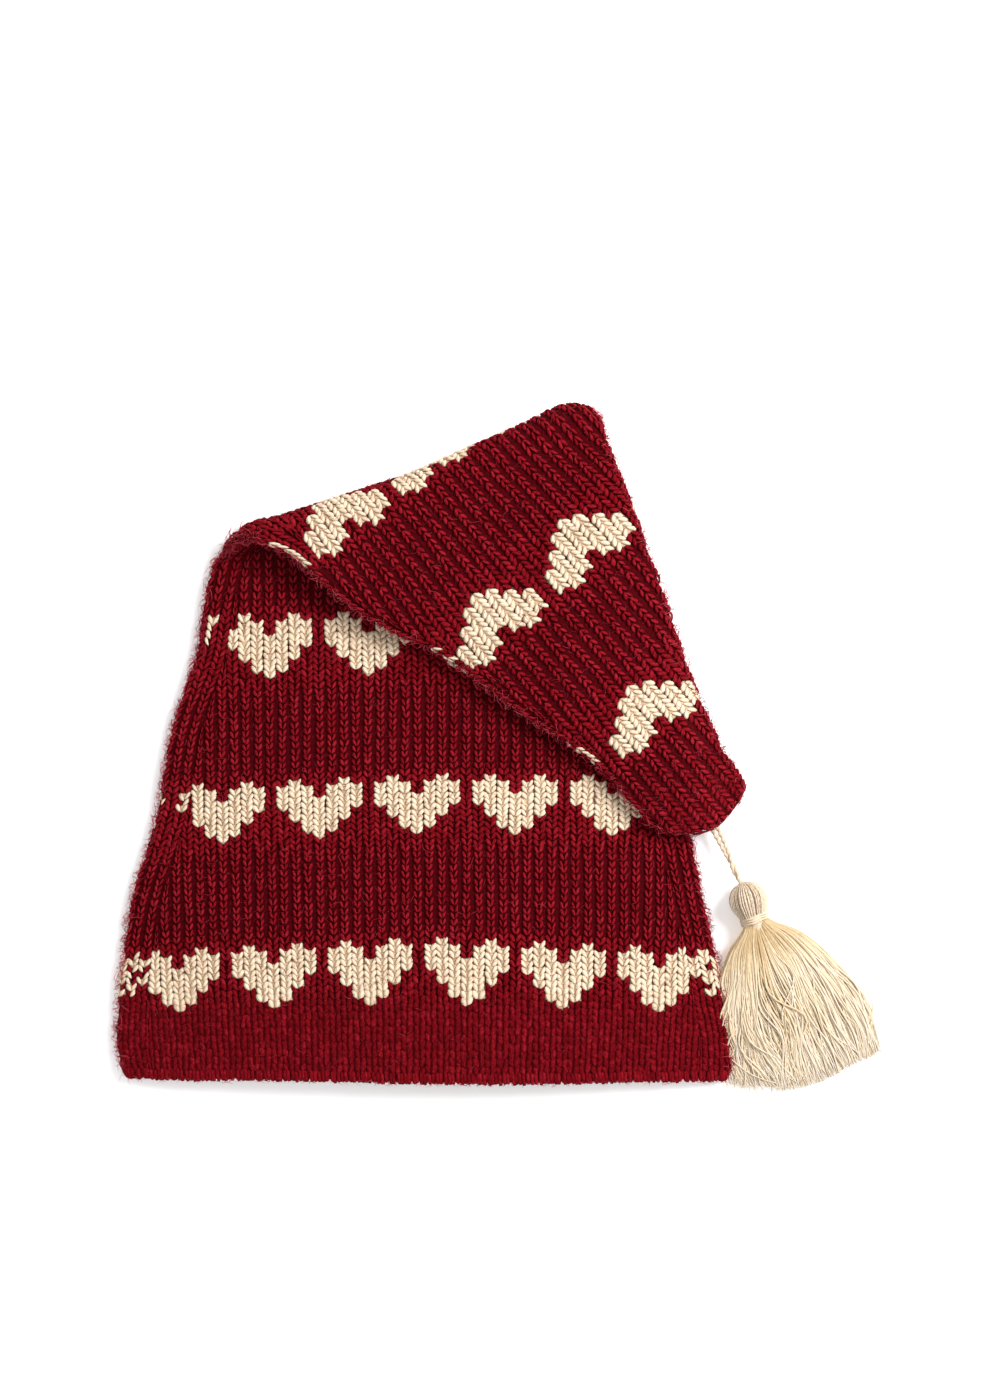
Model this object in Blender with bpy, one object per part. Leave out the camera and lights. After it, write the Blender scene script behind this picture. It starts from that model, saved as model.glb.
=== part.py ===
"""A child's long knitted hat, lying flat with its tip folded over, and a tassel on a cord at the tip.

Metres, Z up. The hat is worked out as a flat tube first: x runs across it, y runs from the brim to the tip, and
z is the height above the floor. The part past the crease is then turned over along the crease line, and lies on
the body. The tassel is laid beside it. At the end everything is moved so that the origin is under the middle of
the whole.
"""

import math

import bpy
import numpy as np

# The hat, as it is before its tip is folded over
HAT_LENGTH = 0.3713
BRIM_WIDTH = 0.207
WALL = 0.0025  # thickness of the knitting
EDGE_RADIUS = 0.0032  # half the height of the flat hat at its side edges
BODY_CROWN = 0.0085  # rise of the front above the side edges, on the body
FLAP_CROWN = 0.0030  # the same on the folded part
FLAP_CROWN_ENDS = 0.030  # and it goes down to nothing over this length before the tip
CROWN_POWER = 2.6  # how full the rise is towards the side edges
BRIM_DIP = 0.0013  # the brim's edge wanders by this much
BRIM_DIP_FADES = 0.030

# The fold
CREASE_AT = 0.567 * HAT_LENGTH  # where the crease crosses the middle of the hat, from the brim
CREASE_TILT = math.radians(18.4)
FOLD_RADIUS = 0.0090
FOLD_HALF_ARC = FOLD_RADIUS * math.pi / 2  # half the length of knitting that goes round the fold
CROWN_GROWS_BODY = 0.130  # the rise comes back over this length below the fold
CROWN_GROWS_FLAP = 0.050
FLAP_CLEARANCE = 0.0010  # air between the flap and the body
FLAP_SETTLES = 0.052  # the flap comes down onto the body over this length
FLAP_SETTLES_LEFT = 0.030  # and over this much more at its left edge, where it gapes
DRAPE = 0.019  # past the body's edge the flap comes down to the floor over this width
FLOOR_GAP = 0.0004
GAPE_FROM = 0.35  # the left edge gapes from here, where 1 is the right edge and -1 the left
GAPE_WIDE = 1.3  # and comes to its most over this much

# The outline of the flat hat: along is a share of HAT_LENGTH from the brim, left and right are shares of
# BRIM_WIDTH from the middle of the brim.
OUTLINE_COLUMNS = ("along", "left", "right")
OUTLINE = np.array([
    (0.0000, -0.492, 0.494),
    (0.0080, -0.500, 0.500),
    (0.0300, -0.507, 0.499),
    (0.0660, -0.504, 0.489),
    (0.1210, -0.493, 0.471),
    (0.1575, -0.482, 0.456),
    (0.2125, -0.453, 0.436),
    (0.2491, -0.436, 0.422),
    (0.3041, -0.421, 0.407),
    (0.3865, -0.375, 0.379),
    (0.4323, -0.362, 0.365),
    (0.4827, -0.340, 0.351),
    (0.5458, -0.301, 0.312),
    (0.5760, -0.275, 0.294),
    (0.6180, -0.260, 0.271),
    (0.6566, -0.241, 0.249),
    (0.6900, -0.213, 0.232),
    (0.7225, -0.181, 0.215),
    (0.7958, -0.140, 0.176),
    (0.8196, -0.127, 0.162),
    (0.8947, -0.084, 0.119),
    (0.9295, -0.078, 0.106),
    (0.9496, -0.076, 0.099),
    (0.9725, -0.0625, 0.097),
    (0.9844, -0.041, 0.092),
    (0.9945, -0.018, 0.066),
    (1.0000, 0.018, 0.021),
])

# The edge of the brim: place is a share of BRIM_WIDTH from its middle, and dip is how much lower the edge hangs
# there, as a share of BRIM_DIP.
BRIM_COLUMNS = ("place", "dip")
BRIM = np.array([
    (-0.50, 0.25),
    (-0.40, 0.60),
    (-0.25, 0.30),
    (0.00, 1.05),
    (0.16, 1.25),
    (0.33, 1.00),
    (0.50, 1.05),
])

# The fold along its length: place is a share of BRIM_WIDTH along the crease from the middle of the hat, reach is
# how far the fold stands out and rise is its half height, as shares of FOLD_RADIUS.
FOLD_COLUMNS = ("place", "reach", "rise")
FOLD = np.array([
    (-0.400, 0.88, 1.17),
    (-0.333, 1.00, 1.17),
    (-0.300, 1.12, 1.17),
    (-0.251, 1.02, 1.11),
    (-0.053, 0.99, 1.03),
    (0.072, 1.24, 1.00),
    (0.162, 1.43, 1.00),
    (0.234, 1.64, 1.00),
    (0.266, 1.42, 0.98),
    (0.285, 1.10, 0.94),
    (0.304, 0.90, 0.92),
])

# How finely the hat is cut into faces
FLAT_STEPS = 15  # across each panel
ROUND_STEPS = 6  # round each side edge
BODY_STATIONS = 14
FOLD_STATIONS = 10
FLAP_STATIONS = 17
TIP_STATIONS = 4

# The cord starts at this place from the folded tip
CORD_FROM_TIP = (-0.0017, -0.0005, -0.0020)

# The tassel, lying flat. Its neck is at this place from the start of the cord, or further from the hat's body.
NECK_FROM_CORD = (0.0138, -0.0311)
NECK_BESIDE_BODY = 0.0150
HEADING = math.radians(-70.0)  # the way that the skirt points
HEAD_RADIUS = 0.0061
HEAD_TO_NECK = 0.0068
NECK_RADIUS = 0.0038
NECK_HEIGHT = 0.0057
NECK_FIRST = -0.0026  # the neck's straight part, measured down the tassel
NECK_LAST = 0.0030
NECK_TAPER = 0.0050
NECK_END = 0.0058
SKIRT_LENGTH = 0.0600
SKIRT_WIDTH = 0.0530
LOCK_HEIGHT = 0.0058
LOCK_HALF_WIDTH = 0.0040
LOCK_TOP_RADIUS = 0.0012  # where the lock comes out of the neck
LOCK_TOP_CHANGE = 0.000045  # and how much it differs from lock to lock
LOCK_FIRST = -0.0020
LOCK_FIRST_CHANGE = 0.00023
LOCK_OFF_AXIS = 0.0008
LOCK_ABOVE_FLOOR = 0.0001

# The skirt's outline: down is a share of SKIRT_LENGTH from the neck, spread is a share of half its width
SKIRT_COLUMNS = ("down", "spread")
SKIRT = np.array([
    (0.00, 0.060),
    (0.04, 0.085),
    (0.07, 0.21),
    (0.13, 0.46),
    (0.35, 0.77),
    (0.62, 0.96),
    (1.00, 1.00),
])

# The locks of yarn, two layers from left to right: side is where its tip lies across the skirt, from -1 to 1,
# reach is its length as a share of SKIRT_LENGTH, and layer is 0 for those on the floor and 1 for those on top.
LOCK_COLUMNS = ("side", "reach", "layer")
LOCKS = np.array([
    (-0.81, 0.83, 0),
    (-0.66, 0.90, 0),
    (-0.50, 0.945, 0),
    (-0.29, 0.965, 0),
    (-0.07, 0.98, 0),
    (0.16, 0.985, 0),
    (0.38, 0.965, 0),
    (0.59, 0.945, 0),
    (0.78, 0.93, 0),
    (0.94, 0.92, 0),
    (-0.62, 0.78, 1),
    (-0.38, 0.86, 1),
    (-0.08, 0.89, 1),
    (0.22, 0.90, 1),
    (0.50, 0.88, 1),
    (0.76, 0.84, 1),
])

# The binding round the neck
BINDING_TURNS = 3
BINDING_WIDTH = 0.0036
BINDING_YARN = 0.0012
BINDING_GAP = 0.0003
GROOVE = 0.38  # how deep the grooves between its turns are, as a share of the yarn

# The cord
CORD_BEND = (0.0002, 0.0001, 0.0006)  # how far the middle of the cord lies off the straight line
CORD_HALF_WIDE = 0.00110
CORD_HALF_THIN = 0.00065
CORD_TURNS = 2.5
CORD_GAP = 0.0003

COLOURS = {
    "knit_shell": (0.22, 0.006, 0.014, 1.0),
    "tassel_cord": (0.80, 0.66, 0.46, 1.0),
    "tassel": (0.80, 0.66, 0.46, 1.0),
    "tassel_wrap": (0.78, 0.63, 0.43, 1.0),
}


def clear_scene():
    for item in list(bpy.data.objects):
        bpy.data.objects.remove(item)


def curve_through(places, values, at):
    """Values at the given places, on a smooth curve through the rows of a table that never overshoots them."""
    at = np.clip(np.asarray(at, float), places[0], places[-1])
    step = np.diff(places)
    slope = np.diff(values) / step
    product = slope[:-1] * slope[1:]
    total = slope[:-1] + slope[1:]
    tangent = np.empty(len(values))
    tangent[1:-1] = np.where(product > 0, 2 * product / np.where(total == 0, 1, total), 0)
    tangent[0] = slope[0]
    tangent[-1] = slope[-1]
    i = np.clip(np.searchsorted(places, at, side="right") - 1, 0, len(step) - 1)
    p = (at - places[i]) / step[i]
    start = (1 + 2 * p) * (1 - p) ** 2 * values[i]
    end = p**2 * (3 - 2 * p) * values[i + 1]
    bend = step[i] * p * (1 - p) * ((1 - p) * tangent[i] - p * tangent[i + 1])
    return start + end + bend


def smooth_step(x):
    x = np.clip(x, 0, 1)
    return x * x * (3 - 2 * x)


def left_edge(y):
    return BRIM_WIDTH * curve_through(OUTLINE[:, 0], OUTLINE[:, 1], y / HAT_LENGTH)


def right_edge(y):
    return BRIM_WIDTH * curve_through(OUTLINE[:, 0], OUTLINE[:, 2], y / HAT_LENGTH)


def to_crease(x, y):
    """A place on the flat hat as (along the crease, past the crease)."""
    c, s = math.cos(CREASE_TILT), math.sin(CREASE_TILT)
    return x * c + (y - CREASE_AT) * s, (y - CREASE_AT) * c - x * s


def from_crease(along, past):
    c, s = math.cos(CREASE_TILT), math.sin(CREASE_TILT)
    return along * c - past * s, CREASE_AT + along * s + past * c


def across(x, y):
    """Where a place lies between the side edges, from -1 to 1."""
    left, right = left_edge(y), right_edge(y)
    half = np.maximum((right - left) / 2 - EDGE_RADIUS, 0.001)
    return (x - (left + right) / 2) / half


def crown(x, y):
    """How far the front stands above the side edges."""
    past = to_crease(x, y)[1]
    body = BODY_CROWN * smooth_step((-past - FOLD_HALF_ARC) / CROWN_GROWS_BODY)
    flap = FLAP_CROWN * smooth_step((past - FOLD_HALF_ARC) / CROWN_GROWS_FLAP)
    flap = flap * smooth_step((HAT_LENGTH - y) / FLAP_CROWN_ENDS)
    full = 1 - np.minimum(np.abs(across(x, y)), 1) ** CROWN_POWER
    return (body + flap) * full


def fold_size(along):
    place = along / BRIM_WIDTH
    reach = FOLD_RADIUS * curve_through(FOLD[:, 0], FOLD[:, 1], place)
    rise = FOLD_RADIUS * curve_through(FOLD[:, 0], FOLD[:, 2], place)
    return reach, rise


def body_top(x, y):
    """The height of what the flap lies on: the body's front, and past its side edges the way down to the floor."""
    beyond = (np.abs(across(x, y)) - 1) * ((right_edge(y) - left_edge(y)) / 2 - EDGE_RADIUS) - EDGE_RADIUS
    down = 0.5 - 0.5 * np.cos(math.pi * np.clip(beyond / DRAPE, 0, 1))
    height = 2 * EDGE_RADIUS + crown(x, y) + FLAP_CLEARANCE
    return height * (1 - down) + FLOOR_GAP * down


def folded(x, y, z):
    """Where a point of the flat hat is once the tip is turned over."""
    along, past = to_crease(x, y)
    reach, rise = fold_size(along)
    turn = math.pi * np.clip((past + FOLD_HALF_ARC) / (2 * FOLD_HALF_ARC), 0, 1)
    round_past = -FOLD_HALF_ARC + (reach - z) * np.sin(turn)
    round_height = rise - (rise - z) * np.cos(turn)

    flap_past = -past
    thick = 2 * EDGE_RADIUS + crown(x, y)
    flap_x, flap_y = from_crease(along, flap_past)
    rest = body_top(flap_x, flap_y)
    left_share = smooth_step((GAPE_FROM - across(x, y)) / GAPE_WIDE)
    settle = (past - FOLD_HALF_ARC) / (FLAP_SETTLES + FLAP_SETTLES_LEFT * left_share)
    lifted = 1 - smooth_step(settle)
    under = np.maximum(rest * (1 - lifted) + (2 * rise - thick) * lifted, rest)
    flap_height = under + thick - z

    on_body = past <= -FOLD_HALF_ARC
    on_flap = past >= FOLD_HALF_ARC
    new_past = np.where(on_body, past, np.where(on_flap, flap_past, round_past))
    height = np.where(on_body, z, np.where(on_flap, flap_height, round_height))
    new_x, new_y = from_crease(along, new_past)
    return np.stack([new_x, new_y, height], axis=-1)


def ring_places():
    """The places round the tube, as (place across from -1 to 1, angle), from the left edge along the underside."""
    flat = np.linspace(-1, 1, FLAT_STEPS + 1)
    bend = np.linspace(-90, 90, ROUND_STEPS + 1)[1:-1]
    places = [(f, -90.0) for f in flat]
    places += [(1.0, angle) for angle in bend]
    places += [(-f, 90.0) for f in flat]
    places += [(-1.0, angle + 180) for angle in bend]
    return np.array(places)


def station_lines():
    """The lines across the hat, as (share of the plain line across, height on the middle, slope)."""
    slope = math.tan(CREASE_TILT)
    lift = FOLD_HALF_ARC / math.cos(CREASE_TILT)
    lines = []
    for share in np.linspace(0, 1, BODY_STATIONS + 1)[:-1]:
        lines.append((share * (CREASE_AT - lift), share * slope))
    for share in np.linspace(-1, 1, FOLD_STATIONS + 1):
        lines.append((CREASE_AT + share * lift, slope))
    last = HAT_LENGTH - EDGE_RADIUS
    for share in np.linspace(0, 1, FLAP_STATIONS + 1)[1:]:
        share = 1 - (1 - share) ** 1.25
        lines.append(((1 - share) * (CREASE_AT + lift) + share * last, (1 - share) * slope))
    for angle in np.linspace(0, math.pi / 2, TIP_STATIONS + 1)[1:-1]:
        lines.append((last + EDGE_RADIUS * math.sin(angle), 0.0))
    return lines


def line_ends(middle, slope):
    """The two ends of a line across the hat, on its outline."""
    ends = []
    for edge in (left_edge, right_edge):
        x = 0.0
        for _ in range(14):
            x = float(edge(middle + slope * x))
        ends.append((x, middle + slope * x))
    return ends


def ring(middle, slope, inset):
    """The points round the flat hat on one line across it, on its outside or inset from it."""
    (left_x, left_y), (right_x, right_y) = line_ends(middle, slope)
    from_tip = (HAT_LENGTH - middle) / EDGE_RADIUS
    radius = EDGE_RADIUS * math.sqrt(max(0.0, 1 - (1 - min(from_tip, 1.0)) ** 2))
    radius = min(radius, 0.45 * (right_x - left_x))
    share, angle = ring_places().T
    share = (share + 1) / 2
    x = (left_x + radius) * (1 - share) + (right_x - radius) * share
    y = left_y * (1 - share) + right_y * share
    angle = np.radians(angle)
    on_top = np.sin(angle) > 0.999
    z = EDGE_RADIUS + (radius - inset) * np.sin(angle)
    z = z + np.where(on_top, crown(x, y), 0)
    x = x + (radius - inset) * np.cos(angle)
    return x, y, z


def dipped(x, y):
    """The height of a point of the flat hat, with the brim's edge wandering a little."""
    dip = BRIM_DIP * curve_through(BRIM[:, 0], BRIM[:, 1], x / BRIM_WIDTH)
    return y - dip * np.exp(-np.maximum(y, 0) / BRIM_DIP_FADES)


def add_mesh(name, points, faces):
    mesh = bpy.data.meshes.new(name)
    mesh.from_pydata([tuple(p) for p in points], [], faces)
    mesh.validate()
    for polygon in mesh.polygons:
        polygon.use_smooth = True
    item = bpy.data.objects.new(name, mesh)
    bpy.context.scene.collection.objects.link(item)
    return item


def bridge(first, second, count, faces):
    """Joins two rings of points with four-sided faces."""
    for i in range(count):
        j = (i + 1) % count
        faces.append((first + i, first + j, second + j, second + i))


def make_knit_shell():
    """The whole hat, one knitted wall that is hollow and open at the brim."""
    lines = station_lines()
    rings = []
    inner_end = HAT_LENGTH - 2 * WALL
    for middle, slope in reversed([line for line in lines if line[0] < inner_end]):
        rings.append(ring(middle, slope, WALL))
    rim_x, rim_y, rim_z = ring(0.0, 0.0, WALL / 2)
    rings.append((rim_x, rim_y - 0.4 * WALL, rim_z))
    for middle, slope in lines:
        rings.append(ring(middle, slope, 0.0))
    count = len(rings[0][0])
    points = [folded(x, dipped(x, y), z) for x, y, z in rings]
    tip = tip_point()
    inner_tip = points[0].mean(axis=0, keepdims=True)
    faces = []
    for k in range(len(rings) - 1):
        bridge((k + 1) * count, k * count, count, faces)
    outer_last = (len(rings) - 1) * count
    tip_at = len(rings) * count
    for i in range(count):
        j = (i + 1) % count
        faces.append((outer_last + j, outer_last + i, tip_at))
        faces.append((i, j, tip_at + 1))
    return add_mesh("knit_shell", np.concatenate(points + [tip, inner_tip]), faces)


def tube(name, centres, sides, ups, half_wide, half_thick, count=8, turns=0.0):
    """A closed tube of oval section along a line of centres."""
    points = []
    for k, centre in enumerate(centres):
        spin = 2 * math.pi * turns * k / (len(centres) - 1)
        for i in range(count):
            angle = 2 * math.pi * (i + 0.5) / count
            wide = half_wide[k] * math.cos(angle)
            thick = half_thick[k] * math.sin(angle)
            side = wide * math.cos(spin) - thick * math.sin(spin)
            up = wide * math.sin(spin) + thick * math.cos(spin)
            points.append(centre + side * sides[k] + up * ups[k])
    faces = []
    for k in range(len(centres) - 1):
        bridge(k * count, (k + 1) * count, count, faces)
    faces.append(tuple(reversed(range(count))))
    faces.append(tuple(range((len(centres) - 1) * count, len(centres) * count)))
    return add_mesh(name, points, faces)


def along_tube(centres):
    """Unit vectors to the side of and above a line of centres."""
    ahead = np.gradient(centres, axis=0)
    ahead /= np.linalg.norm(ahead, axis=1)[:, None]
    side = np.cross((0.0, 0.0, 1.0), ahead)
    side /= np.linalg.norm(side, axis=1)[:, None]
    return side, np.cross(ahead, side)


def tip_point():
    """The end of the folded tip."""
    x = np.array([BRIM_WIDTH * OUTLINE[-1, 1]])
    return folded(x, np.array([HAT_LENGTH]), np.array([EDGE_RADIUS]))


def cord_start():
    return tip_point()[0] + np.array(CORD_FROM_TIP)


def neck_place():
    """The place of the tassel's neck on the floor."""
    start = cord_start()
    y = start[1] + NECK_FROM_CORD[1]
    beside_body = right_edge(np.array(y)) + NECK_BESIDE_BODY
    return max(start[0] + NECK_FROM_CORD[0], float(beside_body)), y


def tassel_point(down, side, height):
    """A point in the tassel's own directions: down the skirt, to its side, and up from the floor."""
    c, s = math.cos(HEADING), math.sin(HEADING)
    neck_x, neck_y = neck_place()
    x = neck_x + down * c - side * s
    y = neck_y + down * s + side * c
    return np.array([x, y, height])


def make_lock(number, side, reach, layer):
    """One lock of yarn, from inside the neck to its tip."""
    shares = np.array([0.0, 0.045, 0.10, 0.19, 0.34, 0.55, 0.78, 0.94, 1.0])
    first = LOCK_FIRST + LOCK_FIRST_CHANGE * (number * 7 % 16)
    down = first + shares * (reach * SKIRT_LENGTH - first)
    grows = smooth_step((shares - 0.05) / 0.3)
    ends = np.array([1, 1, 1, 1, 1, 1, 0.98, 0.86, 0.62])
    thin = LOCK_TOP_RADIUS + LOCK_TOP_CHANGE * (number * 5 % 16)
    half_wide = (thin + (LOCK_HALF_WIDTH - thin) * grows) * ends
    half_thick = (thin + (LOCK_HEIGHT / 2 - thin) * grows) * ends
    spread = curve_through(SKIRT[:, 0], SKIRT[:, 1], down / SKIRT_LENGTH)
    out = side * (SKIRT_WIDTH / 2 * spread - half_wide)
    settled = smooth_step((shares - 0.05) / 0.38)
    lying = LOCK_HEIGHT / 2 + LOCK_ABOVE_FLOOR
    step_up = (0.62 - 0.30 * shares) * LOCK_HEIGHT * (1 - 0.4 * abs(side))
    start = NECK_HEIGHT + (LOCK_OFF_AXIS if layer else -LOCK_OFF_AXIS)
    height = start * (1 - settled) + (lying + layer * step_up) * settled
    centres = np.array([tassel_point(d, o, h) for d, o, h in zip(down, out, height)])
    sides, ups = along_tube(centres)
    return tube(f"lock_{number}", centres, sides, ups, half_wide, half_thick)


def lathe(name, profile, count):
    """A closed round body about the tassel's axis, from a profile of (down, radius); ends at radius 0 are points."""
    points = []
    faces = []
    starts = []
    for down, radius in profile:
        starts.append(len(points))
        number = 1 if radius == 0 else count
        for i in range(number):
            angle = 2 * math.pi * i / count
            points.append(
                tassel_point(down, radius * math.cos(angle), NECK_HEIGHT + radius * math.sin(angle))
            )
    for k in range(len(profile) - 1):
        a, b = starts[k], starts[k + 1]
        for i in range(count):
            j = (i + 1) % count
            if profile[k][1] == 0:
                faces.append((a, b + j, b + i))
            elif profile[k + 1][1] == 0:
                faces.append((a + i, a + j, b))
            else:
                faces.append((a + i, a + j, b + j, b + i))
    return points, faces, starts


def make_tassel():
    """The head ball and the neck in one, with the locks of the skirt joined to them."""
    profile = []
    for angle in np.linspace(0, math.pi, 11)[:-2]:
        profile.append((-HEAD_TO_NECK - HEAD_RADIUS * math.cos(angle), HEAD_RADIUS * math.sin(angle)))
    profile[0] = (profile[0][0], 0)
    profile += [(NECK_FIRST, NECK_RADIUS), (NECK_LAST, NECK_RADIUS), (NECK_TAPER, 0.8 * NECK_RADIUS), (NECK_END, 0)]
    points, faces, _ = lathe("tassel", profile, 16)
    points = np.array(points)
    points[:, 2] = np.maximum(points[:, 2], 0.0)
    tassel = add_mesh("tassel", points, faces)
    locks = bpy.data.collections.new("locks")
    bpy.context.scene.collection.children.link(locks)
    for number, (side, reach, layer) in enumerate(LOCKS):
        lock = make_lock(number, side, reach, layer)
        bpy.context.scene.collection.objects.unlink(lock)
        locks.objects.link(lock)
        lock.hide_render = True
        lock.display_type = "WIRE"
        join = tassel.modifiers.new(f"join_{number}", "BOOLEAN")
        join.operation = "UNION"
        join.solver = "EXACT"
        join.object = lock
    return tassel


def make_tassel_wrap():
    """The yarn that is wound round the neck, as one ring with a ridge for each turn."""
    inner = NECK_RADIUS + BINDING_GAP
    profile = []
    steps = 4 * BINDING_TURNS
    for k in range(steps + 1):
        share = k / steps
        ridge = abs(math.sin(math.pi * BINDING_TURNS * share))
        radius = inner + BINDING_YARN * (1 - GROOVE + GROOVE * ridge)
        profile.append(((share - 0.5) * BINDING_WIDTH, radius))
    profile.append((0.5 * BINDING_WIDTH, inner))
    profile.append((-0.5 * BINDING_WIDTH, inner))
    count = 20
    points, faces, starts = lathe("tassel_wrap", profile, count)
    last, first = starts[-1], starts[0]
    for i in range(count):
        j = (i + 1) % count
        faces.append((last + i, last + j, first + j, first + i))
    return add_mesh("tassel_wrap", points, faces)


def make_tassel_cord():
    """Two strands twisted round each other, from the hat's tip to the head of the tassel."""
    start = cord_start()
    head = tassel_point(-HEAD_TO_NECK, 0.0, NECK_HEIGHT)
    way = head - start
    way /= np.linalg.norm(way)
    end = head - way * (HEAD_RADIUS + CORD_GAP)
    shares = np.linspace(0, 1, 25)
    bow = np.sin(math.pi * shares)[:, None] * np.array(CORD_BEND)
    centres = start + (end - start) * shares[:, None] + bow
    sides, ups = along_tube(centres)
    half_wide = np.full(len(shares), CORD_HALF_WIDE)
    half_thin = np.full(len(shares), CORD_HALF_THIN)
    return tube("tassel_cord", centres, sides, ups, half_wide, half_thin, count=10, turns=CORD_TURNS)


def paint(item):
    material = bpy.data.materials.new(item.name)
    material.use_nodes = True
    shader = material.node_tree.nodes["Principled BSDF"]
    shader.inputs["Base Color"].default_value = COLOURS[item.name]
    shader.inputs["Roughness"].default_value = 0.95
    item.data.materials.append(material)


def centre_on_floor(items, helpers):
    """Moves everything so that the origin is under the middle of the whole, on the floor."""
    bpy.context.view_layer.update()
    graph = bpy.context.evaluated_depsgraph_get()
    low = np.full(3, np.inf)
    high = np.full(3, -np.inf)
    for item in items:
        mesh = item.evaluated_get(graph).to_mesh()
        points = np.array([v.co[:] for v in mesh.vertices])
        low = np.minimum(low, points.min(axis=0))
        high = np.maximum(high, points.max(axis=0))
    shift = (-(low[0] + high[0]) / 2, -(low[1] + high[1]) / 2, -low[2])
    for item in items + helpers:
        for vertex in item.data.vertices:
            vertex.co.x += shift[0]
            vertex.co.y += shift[1]
            vertex.co.z += shift[2]


def main():
    clear_scene()
    items = [make_knit_shell(), make_tassel_cord(), make_tassel_wrap(), make_tassel()]
    for item in items:
        paint(item)
    helpers = list(bpy.data.collections["locks"].objects)
    centre_on_floor(items, helpers)


main()
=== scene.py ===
"""The looks of the knitted hat: its stitches, the yarn of its tassel, its cord, the light and the camera.

The hat is worked out as in the CAD model: flat first, with x across it and y from the brim to the tip, and
then folded over along the crease. Stitches are placed by wale (a column of stitches) and row on the flat
hat, so they follow it round its edges and over the fold. Metres, Z up.
"""

import math

import bpy
import numpy as np
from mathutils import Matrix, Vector


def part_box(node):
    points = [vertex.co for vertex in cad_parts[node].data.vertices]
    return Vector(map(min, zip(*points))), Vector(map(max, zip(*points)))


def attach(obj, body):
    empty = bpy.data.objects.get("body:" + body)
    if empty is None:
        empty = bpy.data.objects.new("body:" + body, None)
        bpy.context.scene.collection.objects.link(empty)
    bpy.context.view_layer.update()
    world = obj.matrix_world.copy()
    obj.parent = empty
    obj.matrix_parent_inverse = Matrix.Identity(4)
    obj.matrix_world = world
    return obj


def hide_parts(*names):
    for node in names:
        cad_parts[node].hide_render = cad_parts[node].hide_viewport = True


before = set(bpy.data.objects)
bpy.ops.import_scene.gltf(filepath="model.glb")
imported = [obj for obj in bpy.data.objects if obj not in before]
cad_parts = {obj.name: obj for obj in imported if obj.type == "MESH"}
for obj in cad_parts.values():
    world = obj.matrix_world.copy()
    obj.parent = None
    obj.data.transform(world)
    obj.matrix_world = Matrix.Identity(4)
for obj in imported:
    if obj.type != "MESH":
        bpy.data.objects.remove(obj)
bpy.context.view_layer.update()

MILLIMETRE = 0.001
TURN = 2 * math.pi


def table(columns, rows):
    """A table as its columns by name."""
    return dict(zip(columns, np.array(rows, float).T))


# The hat, with the same sizes as the CAD model
HAT_LENGTH = 0.3713
BRIM_WIDTH = 0.207
WALL = 0.0025
EDGE_RADIUS = 0.0032
BODY_CROWN = 0.0085
FLAP_CROWN = 0.0030
CROWN_POWER = 2.6
BRIM_DIP = 0.0013
BRIM_DIP_FADES = 0.030
RIM_BULGE = 0.4 * WALL  # the middle of the brim's edge stands out by this much
CREASE_AT = 0.567 * HAT_LENGTH
CREASE_TILT = math.radians(18.4)
FOLD_RADIUS = 0.0090
FOLD_HALF_ARC = FOLD_RADIUS * math.pi / 2
CROWN_GROWS_BODY = 0.130
CROWN_GROWS_FLAP = 0.050
FLAP_CLEARANCE = 0.0010
FLAP_SETTLES = 0.052
FLAP_SETTLES_LEFT = 0.030
DRAPE = 0.019
FLOOR_GAP = 0.0004

# along is a share of HAT_LENGTH from the brim, left and right are shares of BRIM_WIDTH from its middle
OUTLINE = table(("along", "left", "right"), [
    (0.0000, -0.492, 0.494),
    (0.0080, -0.500, 0.500),
    (0.0300, -0.507, 0.499),
    (0.0660, -0.504, 0.489),
    (0.1210, -0.493, 0.471),
    (0.1575, -0.482, 0.456),
    (0.2125, -0.453, 0.436),
    (0.2491, -0.436, 0.422),
    (0.3041, -0.421, 0.407),
    (0.3865, -0.375, 0.379),
    (0.4323, -0.362, 0.365),
    (0.4827, -0.340, 0.351),
    (0.5458, -0.301, 0.312),
    (0.5760, -0.275, 0.294),
    (0.6180, -0.260, 0.271),
    (0.6566, -0.241, 0.249),
    (0.6900, -0.213, 0.232),
    (0.7225, -0.181, 0.215),
    (0.7958, -0.140, 0.176),
    (0.8196, -0.127, 0.162),
    (0.8947, -0.084, 0.119),
    (0.9295, -0.078, 0.106),
    (0.9496, -0.076, 0.099),
    (0.9725, -0.0625, 0.097),
    (0.9844, -0.041, 0.092),
    (0.9945, -0.018, 0.066),
    (1.0000, 0.018, 0.021),
])

# place is a share of BRIM_WIDTH, dip is a share of BRIM_DIP
BRIM = table(("place", "dip"), [
    (-0.50, 0.25),
    (-0.40, 0.60),
    (-0.25, 0.30),
    (0.00, 1.05),
    (0.16, 1.25),
    (0.33, 1.00),
    (0.50, 1.05),
])

# place is a share of BRIM_WIDTH along the crease, reach and rise are shares of FOLD_RADIUS
FOLD = table(("place", "reach", "rise"), [
    (-0.400, 0.88, 1.17),
    (-0.333, 1.00, 1.17),
    (-0.300, 1.12, 1.17),
    (-0.251, 1.02, 1.11),
    (-0.053, 0.99, 1.03),
    (0.072, 1.24, 1.00),
    (0.162, 1.43, 1.00),
    (0.234, 1.64, 1.00),
    (0.266, 1.42, 0.98),
    (0.285, 1.10, 0.94),
    (0.304, 0.90, 0.92),
])

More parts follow.
